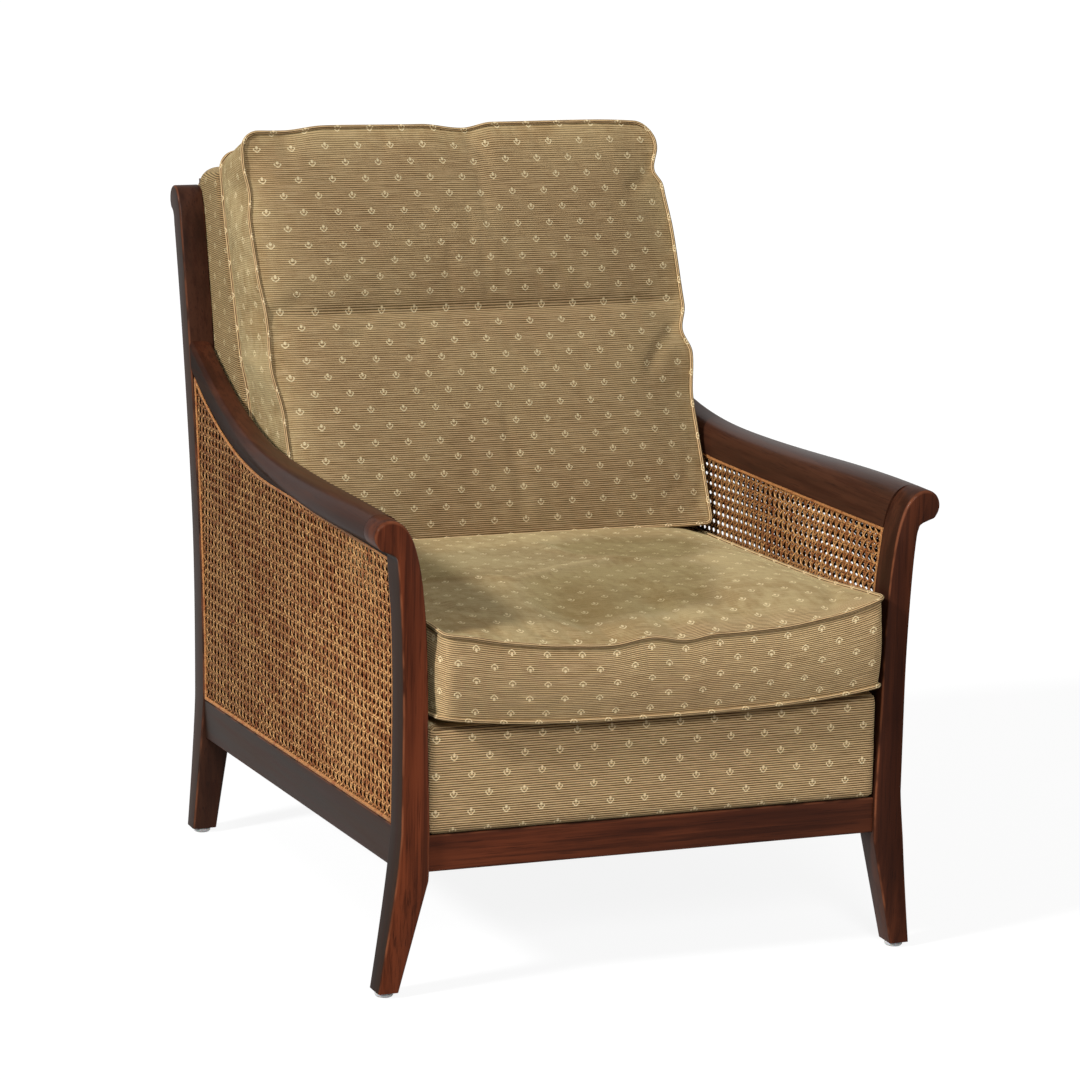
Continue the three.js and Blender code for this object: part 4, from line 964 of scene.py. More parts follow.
# %% [markdown]
# ## The fixed back
#
# A wedge: its front leans with the back cushion, its rear follows the curved posts, and its top stands a little
# over them. The lattice is drawn closer at the rounded edges.
# %% Fixed back
back_lean, back_top_front, back_top_rear, rear_depth = 0.425, 868.0, 856.0, 27.3


def back_face(z):
    """The fixed back's front face: a line that leans 0.425 for each millimetre up."""
    return 706 + back_lean * (z - 606)


deck_top = 322.2
foot_front = deck_top + 0.6 - seat_fall(back_face(300.0))
foot_rear = deck_top + 0.6 - seat_fall(752.0)
shares, faces, sides = box_skin(80, 18, 84)
shares[:, [0, 2]] *= 1.25 - 0.25 * shares[:, [0, 2]] ** 2
u, v, w = shares.T
level = mix(foot_front, back_top_front, (w + 1) / 2)
depth = (back_front(level) + rear_depth - back_face(level)) / 2
half = beside(283.1, depth, (back_top_front - foot_front) / 2)
radius = beside(mix(10, 24, smooth((w - 0.7) / 0.2)), np.minimum(14.0, depth), np.where(w > 0, 22.0, 0.5))
box = rounded(shares * half, half, radius)
_, share_back, share_up = ((box + half) / (2 * half)).T
z = mix(mix(foot_front, back_top_front, share_up), mix(foot_rear, back_top_rear, share_up), share_back)
full = 3.2 * (1 - v**2) * (1 - np.abs(w) ** 12) * smooth((z - 838) / 14)
x = box[:, 0] + np.sign(u) * np.abs(u) ** 6 * full
y = mix(back_face(z), back_front(z) + rear_depth, share_back)
z = z + 3.0 * (1 - u**6) * (1 - v**2) * np.clip((w - 0.9) / 0.1, 0, 1)
# The fixed back's sides are painted darker, as shade.
upholster("fixed_back", x, y, z, beside(x, z * math.hypot(1, back_lean), y), faces, sides, -1.1 * np.abs(u) ** 12,
          ("back_cover", "back_pad"))

# %% [markdown]
# ## The rear panel
#
# A thin sheet of the same cloth closes the rear, stretched over the back frame, with a slight hollow in its middle.
# %% Rear panel
shares, faces, sides = box_skin(72, 1, 84)
u, v, w = shares.T
half_width, low, high = 282.8, 175.2, 849.0
edge = np.minimum(1 - np.abs(u), (1 - np.abs(w)) * (high - low) / (2 * half_width)) * half_width
turned = 1.2 * (1 - smooth(edge / 5.0))
corner_radius = mix(1, 22, w > 0)
half = np.array([half_width, 1.0, (high - low) / 2])
x, _, z = rounded(shares * half * [1, 0, 1], half, beside(corner_radius, 1, corner_radius)).T
z = (low + high) / 2 + z
hollow = 1.0 * (1 - u**2) * (1 - w**4)
y = back_front(z) + 27.6 + np.where(v > 0, 2.4 - turned - hollow, 0.0)
rear_panel = make_piece("rear_panel", in_metres(x, y, z), faces, cover_cloth, "chair_frame", "upholstery",
                        uv=beside(x, z) / 1000, replaces=("back_outer_panel",))

# %% [markdown]
# ## Deck, webbing and dust cover
#
# Under the seat cushion lies a firm deck on five straps of jute webbing; three more cross the back frame. A black
# dust cover closes the seat from below.
# %% Deck
shares, faces, sides = box_skin(70, 84, 4)
u, v, w = shares.T
half = np.array([281.0, 356.85, 6.55])
x, y, z = rounded(shares * half, half, np.array([6.0, 6.0, 5.5])).T
y = 387.15 + y
z = 315.65 + z - 0.5 * (1 - u**8) * (1 - v**8) * np.clip(w, 0, 1) - seat_fall(y)
deck = make_piece("seat_deck", in_metres(x, y, z), faces, plain_cloth, "chair_frame", "upholstery",
                  uv=beside(x, y) / 1000, replaces=("deck_pad",))
print("deck top:", round(z.max(), 1), "mm")

# %% Webbing
jute = Finish("jute_webbing", cloth=True, Roughness=0.92, Sheen_Weight=0.2)
across, along, _ = jute.add("SeparateXYZ", jute.place).node.outputs
over, under = (jute.work("SINE", jute.times(value, 2 * math.pi / pitch))
               for value, pitch in ((across, 0.0022), (along, 0.0030)))
weave = jute.times_plus(jute.times(over, under), 0.5, 0.5)
off_stripe = jute.work("ABSOLUTE", jute.work("SUBTRACT", jute.work("ABSOLUTE", across), 0.017))
jute_colour = jute.blend(weave, (104, 84, 58), (172, 148, 108))
jute_colour = jute.fleck(jute_colour, off_stripe, 0.0022, 0.0014, 0.7, (96, 54, 40))
jute_colour = jute.fleck(jute_colour, jute.streaks([800, 260, 1]), 0.5, 0.68, 0.4, (70, 54, 36))
webbing = jute.use(jute_colour, None, weave, 0.0006, 0.8)


def strap(place_name, number, run, bent):
    """A strap: a thin box with slightly rounded edges, bent into place by a function of across, along and up."""
    shares, faces, _ = box_skin(8, 70, 1)
    half = np.array([24.9, run / 2, 1.15])
    box = rounded(shares * half, half, 1.1)
    make_piece(f"{place_name}_webbing_{number}", bent(*box.T), faces, webbing, "chair_frame", "webbing",
               uv=box[:, :2] / 1000, replaces=(f"{place_name}_strap_{number}",))


for i in range(5):
    strap("seat", i + 1, 745.3, lambda a, b, c: in_metres(
        (i - 2) * 104 + a, 371.3 + b, 307.55 + c - seat_fall(371.3 + b)))
for i in range(3):
    height = middle(f"back_strap_{i + 1}")[2]
    strap("back", i + 1, 561.0, lambda a, b, c: in_metres(
        b, back_front(height + a * 1.18) + 1.45 + c, height + a * 1.18))

# %% Dust cover
cambric = Finish("black_cambric", cloth=True, Roughness=0.95, Sheen_Weight=0.1)
cambric_weave = cambric.streaks([1600, 1600, 1], detail=1)
cambric_black = cambric.blend(cambric.between(cambric_weave, 0.4, 0.65), (22, 21, 20), (44, 42, 40))
cambric_height = cambric.times_plus(cambric_weave, 0.1, cambric.streaks([14, 60, 1]))
lining = cambric.use(cambric_black, None, cambric_height, 0.0012, 0.5)

shares, faces, sides = box_skin(60, 76, 1)
u, v, w = shares.T
x, y = u * 283.2, 382.3 + v * 361.6
sag = 3.0 * (1 - u**2) * (1 - v**2) + 0.5 * np.sin(x / 19.0) * np.abs(v) ** 12
z = 158.95 + 0.5 * w - sag - seat_fall(y)
dust_cover = make_piece("seat_dust_cover", in_metres(x, y, z), faces, lining, "chair_frame", "lining",
                        uv=beside(x, y) / 1000, replaces=("dust_cover",))
print("dust cover below:", round(float(z.min()), 1), "mm")

# %% [markdown]
# ## Cushions as forms
#
# A loose cushion is a box of cloth round a soft core, with piping in both seams. Between the places where the
# cloth is gathered, the seams bow out. So it is first a smooth form, a function of three shares from -1 to 1,
# and its seams follow short tables of places and offsets.
# %% A table read smoothly


def table(value, places, offsets):
    """Offsets at places, joined by half cosines, so that each listed place is a crest, a hollow or a level."""
    places, offsets = np.asarray(places, float), np.asarray(offsets, float)
    step = np.clip(np.searchsorted(places, value) - 1, 0, len(places) - 2)
    share = np.clip((value - places[step]) / (places[step + 1] - places[step]), 0, 1)
    return mix(offsets[step], offsets[step + 1], (1 - np.cos(math.pi * share)) / 2)


def eased(p, q, half_p, half_q, radius):
    """Shares of a rectangle with its corners pulled onto quarter circles: a point past a corner's centre by more
    than the radius goes back along its own line to the circle."""
    x, y = p * half_p, q * half_q
    core_x = np.clip(x, radius - half_p, half_p - radius)
    core_y = np.clip(y, radius - half_q, half_q - radius)
    back_in = np.maximum(np.hypot(x - core_x, y - core_y) / radius, 1)
    return (core_x + (x - core_x) / back_in) / half_p, (core_y + (y - core_y) / back_in) / half_q


# %% [markdown]
# The seat cushion: u runs across, v back and w up. The top is crowned, dips to the middle of its front edge and
# drops with the seat to the rear; the boxing bulges; and the lower front edge hangs a little over the border.
# %% The seat cushion's form
cushion_half, cushion_front, cushion_rear = 277.0, -38.0, 572.4
cushion_low, cushion_high, cushion_half_depth = 328.5, 438.0, 305.0
side_draw, boxing_bulge = 5.0, 3.0
top_front_wander = (
    (-290, -235, -190, -135, -75, -20, 22, 60, 140, 200, 290),
    (-7, -1, -1, -3, -5, 1.5, -4.5, 0, 0.5, 2.5, 3.0))


def seat_form(u, v, w, inset=0.0):
    """Half width and half depth times the shares, with boxing bulge, seams drawn in between the corners, and the
    height mixed between underside and top."""
    u, v = eased(u, v, cushion_half, cushion_half_depth, np.where(v < 0, 12.0, 18.0))
    boxed = boxing_bulge * (1 - w**2)
    half_width = cushion_half - side_draw * (1 - v**2) - inset
    half_depth = (cushion_rear - cushion_front) / 2 - np.where(v > 0, side_draw * (1 - u**2), 0) - inset
    x = u * (half_width + boxed * np.abs(u) ** 3)
    y = (cushion_rear + cushion_front) / 2 + v * (half_depth + boxed * np.where(v < 0, 2.0, 1.0) * np.abs(v) ** 3)
    near = (1 - v) / 2
    swell = (1 - u**4) * (1 - v**4)
    top = cushion_high - 27.0 * near**5 * (1 - u**4) - inset + 11.0 * swell + table(x, *top_front_wander) * near**8
    top = top - 4.0 * np.abs(u) ** 10 * smooth((v + 0.9) / 0.5)
    lift = 8.0 * (u * v) ** 4 * (1 - np.clip(v, 0, 1))
    hang_over = 8.0 * near**24 * (1 - u**2)
    low = cushion_low + inset + lift - hang_over - 5.1 * swell
    return x, y, mix(low, top, (w + 1) / 2) - seat_fall(y)


# %% [markdown]
# The back cushion: u runs across, v from its front face to its rear and w up. One channel is sewn across its
# fuller front; it widens above the arms; and its side seams are pinched at the channel's ends and near the top.
# %% The back cushion's form
pillow_front_low, pillow_front_high = 470.0, 718.0
pillow_foot, pillow_low, pillow_high, pillow_rear_high = 435.0, 451.2, 925.0, 888.0
channel_height, back_gap = 708.0, 7.3
right_pinch = (440, 560, 640, 668, 700, 790, 845, 866, 900, 925), (0, 0, 2, -7, 1.5, 3, 0, -9, 2, 0)
left_pinch = (440, 560, 640, 700, 760, 815, 850, 885, 925), (0, 0, 0, -3, 1, 2, -3, 1, 0)
top_notches = (-290, -225, -170, -40, 18, 60, 200, 290), (0, -3, 2, 1, -5, 2, 2.5, 1)


def back_form(u, v, w, inset=0.0):
    """Front and rear faces mixed by v; the front crown is 24 mm less 15 mm along the channel."""
    u, w = eased(u, w, 280.0, 236.0, np.where(w > 0, 22.0, 8.0))
    up, back = (w + 1) / 2, (v + 1) / 2
    rear_low = pillow_low - seat_fall(back_face(pillow_foot) - back_gap)
    front_z = mix(pillow_foot + inset, pillow_high - inset, up)
    rear_z = mix(rear_low + inset, pillow_rear_high - inset, up)
    front_y = mix(pillow_front_low, pillow_front_high, up) + inset
    rear_y = back_face(rear_z) - back_gap - inset
    z = mix(front_z, rear_z, back)
    over_arm = smooth((z - 585) / 60)
    corner = up**10
    drawn = side_draw * (1 - w**4) * (1 - np.abs(u) ** 8)
    boxed = mix(2.0, 8.0, over_arm) * (1 - v**2)
    half_width = cushion_half + 8.0 * over_arm - 4.0 * back * over_arm - drawn - 4.0 * corner - inset
    pinch = np.where(u > 0, table(z, *right_pinch), table(z, *left_pinch)) * np.abs(u) ** 9 * (1 - back)
    face_round = (1 - u**4) * (1 - w**6)
    off_channel = np.clip(np.abs(z - channel_height) / (pillow_high - channel_height), 0, 1)
    crown = (24.0 - 15.0 * (1 - off_channel) ** 6) * face_round
    y = mix(front_y - crown, rear_y + 6.0 * face_round, back)
    notch = table(u * half_width, *top_notches) * up**16 * (1 - back)
    top = 7.0 * up**12 * (1 - u**4) * (1 - v**2)
    x = u * (half_width + boxed * np.abs(u) ** 5) + np.sign(u) * pinch
    return x, y, z + top + notch - 3.0 * corner * np.abs(u) ** 8


print("seat cushion:", round(cushion_rear - cushion_front), "mm deep;",
      "back cushion:", round(pillow_high - pillow_low), "mm high")

# %% [markdown]
# ## Cushions as cloth
#
# A form is still too even. A box of slightly larger cloth, a little inside the form and with its seams and channel
# held, is blown up by the cloth solver without gravity, so it buckles into small folds at the seams. No point may
# pass its form by more than a few millimetres, and none where the cushion rests on something.
# %% Blow a cushion up
cloth_frames = 20


def settle(name, points, faces, held):
    """Points after the cloth solver has run: a closed box under pressure, its held points fixed, its threads
    1.2 % longer than the box."""
    mesh = bpy.data.meshes.new(name)
    mesh.from_pydata(points, [], faces.tolist())
    body = add_object(name, mesh)
    body.vertex_groups.new(name="held").add(np.flatnonzero(held).tolist(), 1.0, "REPLACE")
    solver = body.modifiers.new("cloth", "CLOTH")
    solver.settings.effector_weights.gravity = 0
    for option, value in dict(
        quality=6, mass=0.3, tension_stiffness=15, compression_stiffness=15, shear_stiffness=5,
        bending_stiffness=0.6, use_pressure=True, uniform_pressure_force=3.0, shrink_min=-0.012,
        vertex_group_mass="held",
    ).items():
        setattr(solver.settings, option, value)
    scene = bpy.context.scene
    for clock in (scene, solver.point_cache):
        clock.frame_start, clock.frame_end = 1, cloth_frames
    for frame_number in range(1, cloth_frames + 1):
        scene.frame_set(frame_number)
    blown = body.evaluated_get(bpy.context.evaluated_depsgraph_get())
    out = np.empty(len(points) * 3, np.float32)
    blown.data.vertices.foreach_get("co", out)
    scene.frame_set(1)
    bpy.data.objects.remove(body)
    bpy.data.meshes.remove(mesh)
    return out.reshape(-1, 3).astype(float)


def surface_normals(points, faces):
    """Each point's outward direction: the sum of the crossed diagonals of the quads round it."""
    a, b, c, d = (points[faces[:, k]] for k in range(4))
    crossed = np.cross(c - a, d - b)
    total = np.zeros_like(points)
    for k in range(4):
        np.add.at(total, faces[:, k], crossed)
    return total / np.linalg.norm(total, axis=1, keepdims=True)


def blow_up(name, form_of, shares, faces, form, normals, axis, inset, stitched, most, folds):
    """The form as cloth: cut a little inside it, held along stitches and the seams round the axis's two faces, and
    blown up. Points keep a share of their way from the form, and go back along its normals wherever they pass it
    by more than the most allowed."""
    p, q = np.delete(shares, axis, axis=1).T
    on_face = np.isclose(np.abs(shares[:, axis]), 1)
    open_cloth = np.where(on_face, (1 - p**10) * (1 - q**10), 1 - shares[:, axis] ** 2)
    start = in_metres(*form_of(*shares.T, inset=inset * open_cloth))
    start[stitched] = form[stitched]
    seam = on_face & np.isclose(np.maximum(np.abs(p), np.abs(q)), 1)
    points = form + (settle(name, start, faces, seam | stitched) - form) * folds[:, None]
    past = ((points - form) * normals).sum(axis=1)
    return points - normals * np.maximum(past - most, 0)[:, None]


# %% [markdown]
# Piping is a cord in a bias strip, sewn into the seam. Its path is read from the finished cushion's own seam
# points, so it follows every gather. What sitting has left, and the light and shade painted on the seat, are drawn
# with lines and patches in millimetres.
# %% Seams, piping and sitting marks
piping_radius, piping_sink, tube_sides = 0.0025, 0.0012, 10


def seam_loop(shares, axis, value):
    """Indices of a box's edge points on one face, in order of their angle round the face's middle."""
    p, q = [a for a in range(3) if a != axis]
    on_edge = np.isclose(np.maximum(np.abs(shares[:, p]), np.abs(shares[:, q])), 1)
    found = np.flatnonzero(np.isclose(shares[:, axis], value) & on_edge)
    return found[np.argsort(np.arctan2(shares[found, q], shares[found, p]))]


def unit(directions):
    """Directions at the length of one."""
    return directions / np.linalg.norm(directions, axis=1, keepdims=True)


def tube(path, outwards):
    """Points, quads and cloth coordinates of a closed tube: a circle about each path point, which is moved
    outwards by the radius less the sink."""
    following, before = np.roll(path, -1, axis=0), np.roll(path, 1, axis=0)
    along = unit(following - before)
    for _ in range(3):
        outwards = (np.roll(outwards, 1, axis=0) + 2 * outwards + np.roll(outwards, -1, axis=0)) / 4
    out = unit(outwards - along * (outwards * along).sum(axis=1, keepdims=True))
    over = np.cross(along, out)
    centre = path + out * (piping_radius - piping_sink)
    angle = np.linspace(0, 2 * math.pi, tube_sides + 1)[:-1, None]
    rings = centre[:, None] + piping_radius * (np.cos(angle) * out[:, None] + np.sin(angle) * over[:, None])
    rows = len(path)
    length = np.concatenate([[0], np.cumsum(np.linalg.norm(following - path, axis=1))])
    row, column = np.divmod(grid_quads(rows + 1, tube_sides + 1).ravel(), tube_sides + 1)
    uv = beside(length[row], 0.0077 + 6 * rib_pitch * column / tube_sides)
    return rings, grid_quads(rows + 1, tube_sides, around=True) % (rows * tube_sides), uv


def refine(path, times=2):
    """A closed path with points added between its own, by a smooth curve through them (Catmull and Rom)."""
    t = (np.arange(times) / times)[None, :, None]
    p0, p1, p2, p3 = (np.roll(path, -step, axis=0)[:, None] for step in (-1, 0, 1, 2))
    curve = 0.5 * (2 * p1 + (p2 - p0) * t + (2 * p0 - 5 * p1 + 4 * p2 - p3) * t**2 + (3 * p1 - p0 - 3 * p2 + p3) * t**3)
    return curve.reshape(-1, 3)


def off_line(p, q, line):
    """Distance of each place from a line of places."""
    nearest = np.full(p.shape, np.inf)
    for (p0, q0), (p1, q1) in zip(line[:-1], line[1:]):
        share = np.clip(((p - p0) * (p1 - p0) + (q - q0) * (q1 - q0)) / ((p1 - p0) ** 2 + (q1 - q0) ** 2), 0, 1)
        nearest = np.minimum(nearest, np.hypot(p - mix(p0, p1, share), q - mix(q0, q1, share)))
    return nearest


def crease(p, q, line, width):
    """1 on a line of places, fading by a bell of the width on both sides."""
    return np.exp(-((off_line(p, q, line) / width) ** 2))


def patch(p, q, outline, soft):
    """1 inside an outline and 0 outside it, smooth over a soft edge. A place is inside when a line from it to
    the right crosses the outline an odd number of times."""
    closed = [*outline, outline[0]]
    odd = np.zeros(p.shape, bool)
    for (p0, q0), (p1, q1) in zip(closed[:-1], closed[1:]):
        if q0 != q1:
            odd ^= ((q0 > q) != (q1 > q)) & (p < p0 + (q - q0) * (p1 - p0) / (q1 - q0))
    return smooth(0.5 + np.where(odd, 0.5, -0.5) * np.minimum(off_line(p, q, closed) / soft, 1))


def finish_cushion(name, points, faces, normals, uv, loops, fill, **marks):
    """A cushion's body with crisp seams, one level of smoothing and a piping along each seam. Its fill, for padding, is
    not used.
    """
    body = make_piece(f"{name}_body", points, faces, cover_cloth, name, "upholstery", uv=uv, marks=marks,
                      seams=loops.values(), replaces=(f"{name}_cover", f"{name}_core"))
    smoothing = body.modifiers.new("smooth", "SUBSURF")
    smoothing.levels = smoothing.render_levels = 1
    for where, loop in loops.items():
        rings, quads, strip = tube(refine(points[loop]), refine(normals[loop]))
        # The cords are painted 15 % lighter, as the light that a raised cord catches.
        make_piece(f"{name}_cord_{where}", rings, quads, cover_cloth, name, "upholstery", uv=strip,
                   marks={"fresh": np.full(rings.shape[:2], 0.5)}, replaces=(f"{name}_piping_{where}",))
    print(f"{name}:", len(faces), "quads, top at", round(points[:, 2].max() * 1000, 1), "mm")


# %% [markdown]
# The seat cushion's boxing has its sprigs upside down, and the top's sprigs point to the rear. Sitting has left
# hollows with a ridge between them. The top is painted darker in the hollows and lighter along the ridge, partly
# as painted shade and light and partly as pile combed by sitting; near the left arm it is painted darker as the
# arm's shadow. The boxing is painted lighter, as painted light.
# %% Seat cushion
shares, faces, sides = box_skin(88, 96, 18)
u, v, w = shares.T
on_top, on_bottom, on_front, on_rear = (np.isclose(share, end) for share, end in ((w, 1), (w, -1), (v, -1), (v, 1)))
form = in_metres(*seat_form(u, v, w))
normals = surface_normals(form, faces)
most = np.select([on_top, on_bottom, on_front, on_rear], [0.005, 0.0, 0.003, 0.0], 0.001)
points = blow_up("seat_cloth", seat_form, shares, faces, form, normals, 2, 3.5, np.zeros(len(u), bool),
                 most, np.where(on_front, 0.3, 0.8))

x, y = points[:, 0] * 1000, points[:, 1] * 1000 + shift_back
hollows = (
    ([(-100, 187), (60, 260), (145, 240), (160, 190), (125, 120), (100, 50), (10, 30), (-90, 10), (-125, 30),
      (-130, 110)], 7.0, 38, 1.4),
    ([(10, 385), (20, 300), (60, 270), (140, 250), (185, 280), (215, 345), (200, 395), (90, 415)], 6.0, 34, 1.6),
    ([(-215, 205), (-100, 190), (55, 265), (15, 300), (0, 370), (-150, 375), (-225, 330)], 2.0, 30, 0.8),
)
ridge = 4.5 * crease(x, y, [(-205, 214), (-100, 187), (-30, 228), (60, 267), (85, 266)], 10)
ridge += 4.0 * crease(x, y, [(10, 385), (5, 340), (25, 295), (60, 267)], 10)
# Painted on the seat's top: lighter along the ridge and darker in the hollows, partly as painted light and shade and
# partly as pile combed by sitting.
seat_pile_light_and_shade = 0.12 + 0.5 * crease(x, y, [(-100, 189), (-30, 230), (60, 270)], 6)
# Painted shadow of the left arm: darker towards the arm.
seat_pile_light_and_shade -= 0.7 * smooth((-130 - x) / 60) * smooth((y - 20) / 60)
for outline, deep, soft, darker in hollows:
    ridge -= deep * patch(x, y, outline, soft)
    seat_pile_light_and_shade -= darker * patch(x, y, outline, 24)
points[:, 2] += np.where(on_top, (1 - u**6) * (1 - v**6), 0) * ridge / 1000
ribbed_edge = smooth((8 - y) / 28) * smooth((x + 60) / 120)
boxing_combed = np.where(on_bottom, 0.3, 0.1 + 0.3 * np.clip(w, 0, 1) ** 6)
seat_place = beside(u * cushion_half, v * cushion_half_depth, w * 55) / 1000
finish_cushion(
    "seat_cushion", points, faces, normals,
    side_cloth(seat_place, faces, sides, [
        ([1, 2], [1, -1], [0.011, 0]), ([1, 2], [-1, -1], [0.011, 0]),
        ([0, 2], [1, -1], [0.0217, 0]), ([0, 2], [-1, -1], [0.0217, 0]),
        ([0, 1], 1, 0), ([0, 1], 1, [0, 0.01])]),
    {"top": seam_loop(shares, 2, 1), "bottom": seam_loop(shares, 2, -1)}, fill=0.6,
    # The boxing is painted 30 % lighter, as painted light.
    combed=np.where(on_top, 0.75 - 0.6 * ribbed_edge, boxing_combed), fresh=np.where(on_top, seat_pile_light_and_shade, 1.0))

# %% [markdown]
# The back cushion is held along its seams and the channel, and the thread then pulls the cloth a little deeper.
# %% Back cushion
shares, faces, sides = box_skin(92, 26, 78)
u, v, w = shares.T
on_front, on_rear, on_bottom, on_top = (np.isclose(share, end) for share, end in ((v, -1), (v, 1), (w, -1), (w, 1)))
form = in_metres(*back_form(u, v, w))
normals = surface_normals(form, faces)
rows = np.unique(np.round(w[on_front], 9))
row_height = mix(pillow_foot, pillow_high, (rows + 1) / 2)
channel_row = rows[np.argmin(np.abs(row_height - channel_height))]
stitched = on_front & np.isclose(w, channel_row) & (np.abs(u) < 0.985)
most = np.select([on_front, on_rear, on_bottom, on_top], [0.005, 0.0, 0.0, 0.004], 0.002)
points = blow_up("back_cloth", back_form, shares, faces, form, normals, 1, 4.0, stitched,
                 most, np.where(on_front, 0.5, 0.8))
points[stitched] -= normals[stitched] * (0.006 * (1 - np.abs(u[stitched]) ** 20))[:, None]
x, z = points[:, 0] * 1000, points[:, 2] * 1000
dent = np.zeros(len(x))
for line, width, deep in (
    ([(272, 866), (252, 852), (236, 846)], 7, 4), ([(270, 669), (246, 655), (222, 628)], 8, 5),
    ([(268, 672), (240, 684)], 6, 3), ([(20, 926), (26, 905), (38, 888)], 7, 5), ([(-236, 920), (-222, 902)], 6, 4),
    ([(-280, 884), (-262, 872)], 6, 3), ([(-296, 694), (-268, 712), (-236, 720)], 8, 4),
    ([(-292, 640), (-262, 652)], 7, 3),
):
    dent += deep * crease(x, z, line, width)
points[:, 1] += np.where(on_front, dent, 0) / 1000 * (1 - np.maximum(np.abs(u), np.abs(w)) ** 40)
edge = np.maximum(np.abs(u) ** 12, np.clip(w, 0, 1) ** 14)
back_place = beside(u * cushion_half, v * 70, w * 272.5) / 1000
finish_cushion(
    "back_cushion", points, faces, normals,
    side_cloth(back_place, faces, sides, [
        ([1, 2], [-1, 1], 0), ([1, 2], 1, 0), ([0, 2], 1, [0, 0.012]), ([0, 2], [-1, 1], 0),
        ([0, 1], [1, -1], 0), ([0, 1], 1, 0)]),
    {"front": seam_loop(shares, 1, -1), "rear": seam_loop(shares, 1, 1)}, fill=0.65,
    # Painted light and shade: the front face is painted darker and lighter towards its side and top edges, and the
    # other faces a little darker.
    combed=np.where(on_front, 0.15 + 0.4 * edge, 0.75), fresh=np.where(on_front, 0.9 * edge - 0.65, -0.1))

# %% [markdown]
# ## Zips
#
# Each cover has a nylon zip: a narrow tape with two rows of small teeth that mesh, and a slider at one end. One
# tooth is a block of six faces, repeated along the tape.
# %% Zips
zip_nylon = Finish("zip_nylon", Roughness=0.45)
zip_marks = zip_nylon.streaks(500, detail=2)
zip_colour = zip_nylon.blend(zip_nylon.between(zip_marks, 0.4, 0.7), (104, 86, 58), (72, 58, 40))
zip_finish = zip_nylon.use(zip_colour, None, zip_marks, 0.0002, 0.4)
zip_length, tooth_pitch = 416, 2.2
block_corners = np.array([[i, j, k] for i in (-1, 1) for j in (-1, 1) for k in (-1, 1)], float)
block_faces = np.array([[0, 1, 3, 2], [4, 6, 7, 5], [0, 4, 5, 1], [2, 3, 7, 6], [0, 2, 6, 4], [1, 5, 7, 3]])

teeth = np.arange(int(zip_length / tooth_pitch))
middles = np.concatenate([
    beside((teeth - (len(teeth) - 1) / 2) * tooth_pitch, np.where(teeth % 2, 0.35, -0.35), 0.35),
    [[0, 0, -0.15], [zip_length / 2 - 7, 0, 0.4]]])
halves = np.concatenate([
    np.tile([0.75, 0.95, 0.4], (len(teeth), 1)), [[zip_length / 2, 1.4, 0.12], [4.5, 1.3, 0.55]]])
along, across, out = (middles[:, None] + halves[:, None] * block_corners).reshape(-1, 3).T
zip_faces = (np.arange(len(middles))[:, None, None] * 8 + block_faces).reshape(-1, 4)

boxing_rear = cushion_rear - side_draw * (1 - (along / cushion_half) ** 2) + boxing_bulge - 0.4
boxing_middle = (cushion_low + cushion_high) / 2 - seat_fall(cushion_rear)
tape_y = middle("back_cushion_zip")[1] + shift_back
tape_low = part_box("back_cushion_zip")[0].z * 1000
for name, points in (
    ("seat_cushion", in_metres(along, boxing_rear + out, boxing_middle + across)),
    ("back_cushion", in_metres(along, tape_y + across, tape_low + 0.6 - out)),
):
    make_piece(f"{name}_zip_look", points, zip_faces, zip_finish, name, "webbing", replaces=(f"{name}_zip",))
print("teeth in a zip:", len(teeth))

# %% [markdown]
# ## Floor and light
#
# The floor is white and seamless. A little glow, seen by the camera and in reflections alone, brings it to paper
# white, and the soft shadow stays. The main light comes from the left, 35 degrees up; a weaker one in front
# makes the dark line under the seat cushion. The sky is a room, dim at eye height and brighter towards the top.
# %% Floor
white = (1, 1, 1, 1)


def seen_directly(tree):
    """1 for camera, glossy and transmission rays, which should meet a white room, and 0 for the light itself."""
    rays = add_node(tree, "LightPath").node.outputs
    either = add_node(tree, "Math", rays["Is Camera Ray"], rays["Is Glossy Ray"], operation="MAXIMUM")
    return add_node(tree, "Math", either, rays["Is Transmission Ray"], operation="MAXIMUM")


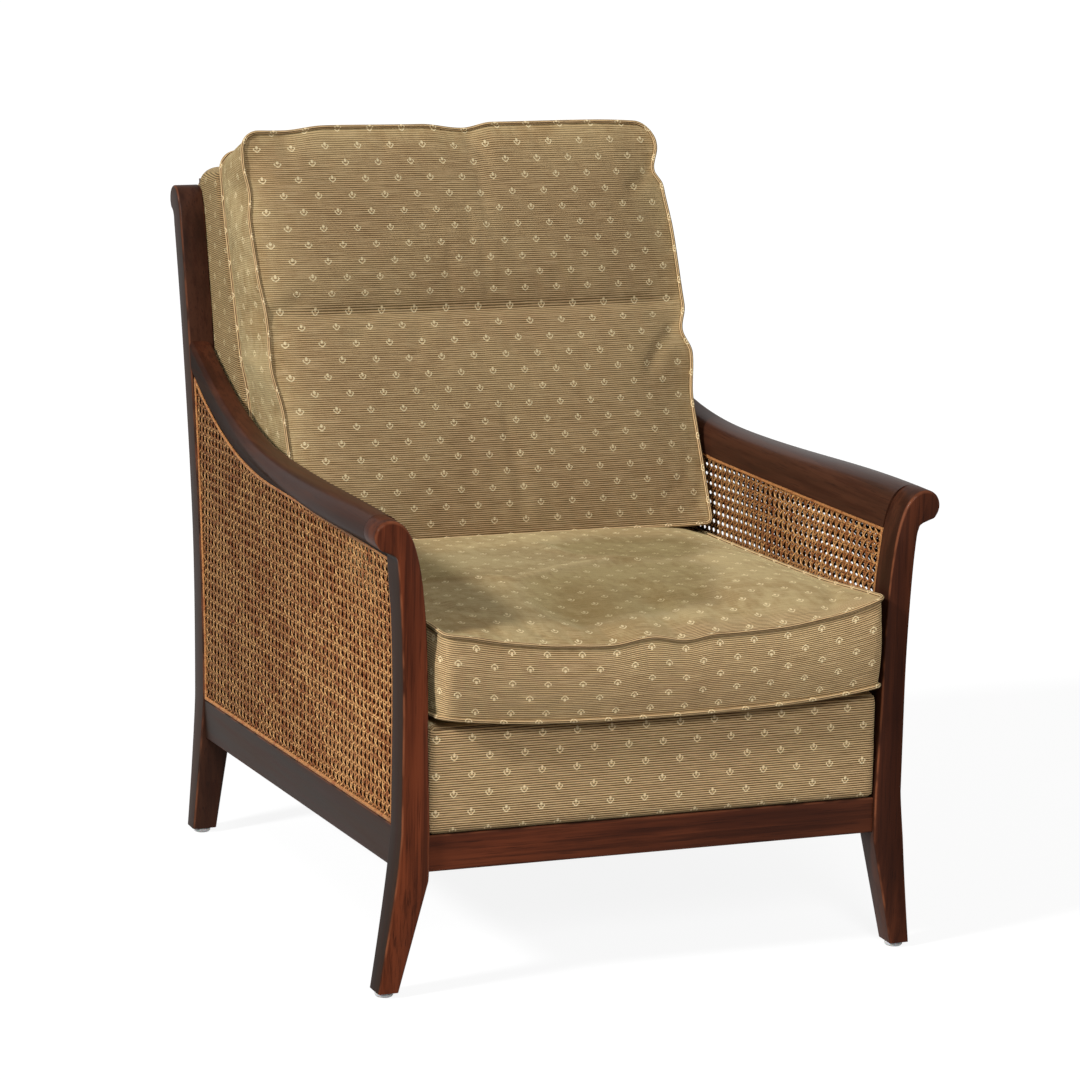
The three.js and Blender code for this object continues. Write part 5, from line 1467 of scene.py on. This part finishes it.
floor_mesh = bpy.data.meshes.new("floor")
reach_out = 60.0
corners = [(a * reach_out, b * reach_out, 0) for a, b in ((-1, -1), (1, -1), (1, 1), (-1, 1))]
floor_mesh.from_pydata(corners, [], [(0, 1, 2, 3)])
add_object("floor", floor_mesh)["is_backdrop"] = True
paper = Finish("floor_paper", Roughness=0.9, Specular_IOR_Level=0.0, Base_Color=(0.3, 0.3, 0.3, 1))
glowing = paper.add("AddShader", paper.add("BsdfDiffuse", (0.15, 0.15, 0.15, 1)), paper.add("Emission", white, 0.89))
shown = paper.add("MixShader", seen_directly(paper.tree), paper.shader.outputs[0], glowing)
fill(paper.tree, paper.tree.nodes["Material Output"].inputs["Surface"], shown)
floor_mesh.materials.append(paper.material)
print("floor:", 2 * reach_out, "m wide")

# %% Light
sky = bpy.data.worlds.new("sky")
sky.use_nodes = True
bpy.context.scene.world = sky
tree = sky.node_tree
height = add_node(tree, "SeparateXYZ", add_node(tree, "TexCoord"), out=2)
room = tree.nodes["Background"]
fill(tree, room.inputs["Color"], white)
fill(tree, room.inputs["Strength"], add_node(tree, "MapRange", height, 0.0, 1.0, 0.08, 0.34))
choose = add_node(tree, "MixShader", seen_directly(tree), room.outputs[0], add_node(tree, "Background", white, 1.0))
fill(tree, tree.nodes["World Output"].inputs["Surface"], choose)


def sun(name, direction, strength, degrees):
    """A sun that shines along a direction: its strength in watts per square metre, and how wide it looks."""
    light = bpy.data.lights.new(name, "SUN")
    light.energy, light.angle = strength, math.radians(degrees)
    back = -np.array(direction) / np.linalg.norm(direction)
    side = np.cross(direction, [0, 0, 1.0])
    side /= np.linalg.norm(side)
    aim(name, light, back * 4, side, np.cross(back, side), back)


sun("main_light", (0.797, 0.202, -0.57), 3.3, 9)
sun("front_light", (0.2, 0.82, -0.53), 1.45, 16)
bpy.context.scene.view_settings.view_transform = "Standard"

dressed_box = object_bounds()
for kind, (low, high) in (("dressed", dressed_box), ("bare", bare_box)):
    print(kind, "box:", [round(b - a, 4) for a, b in zip(low, high)])
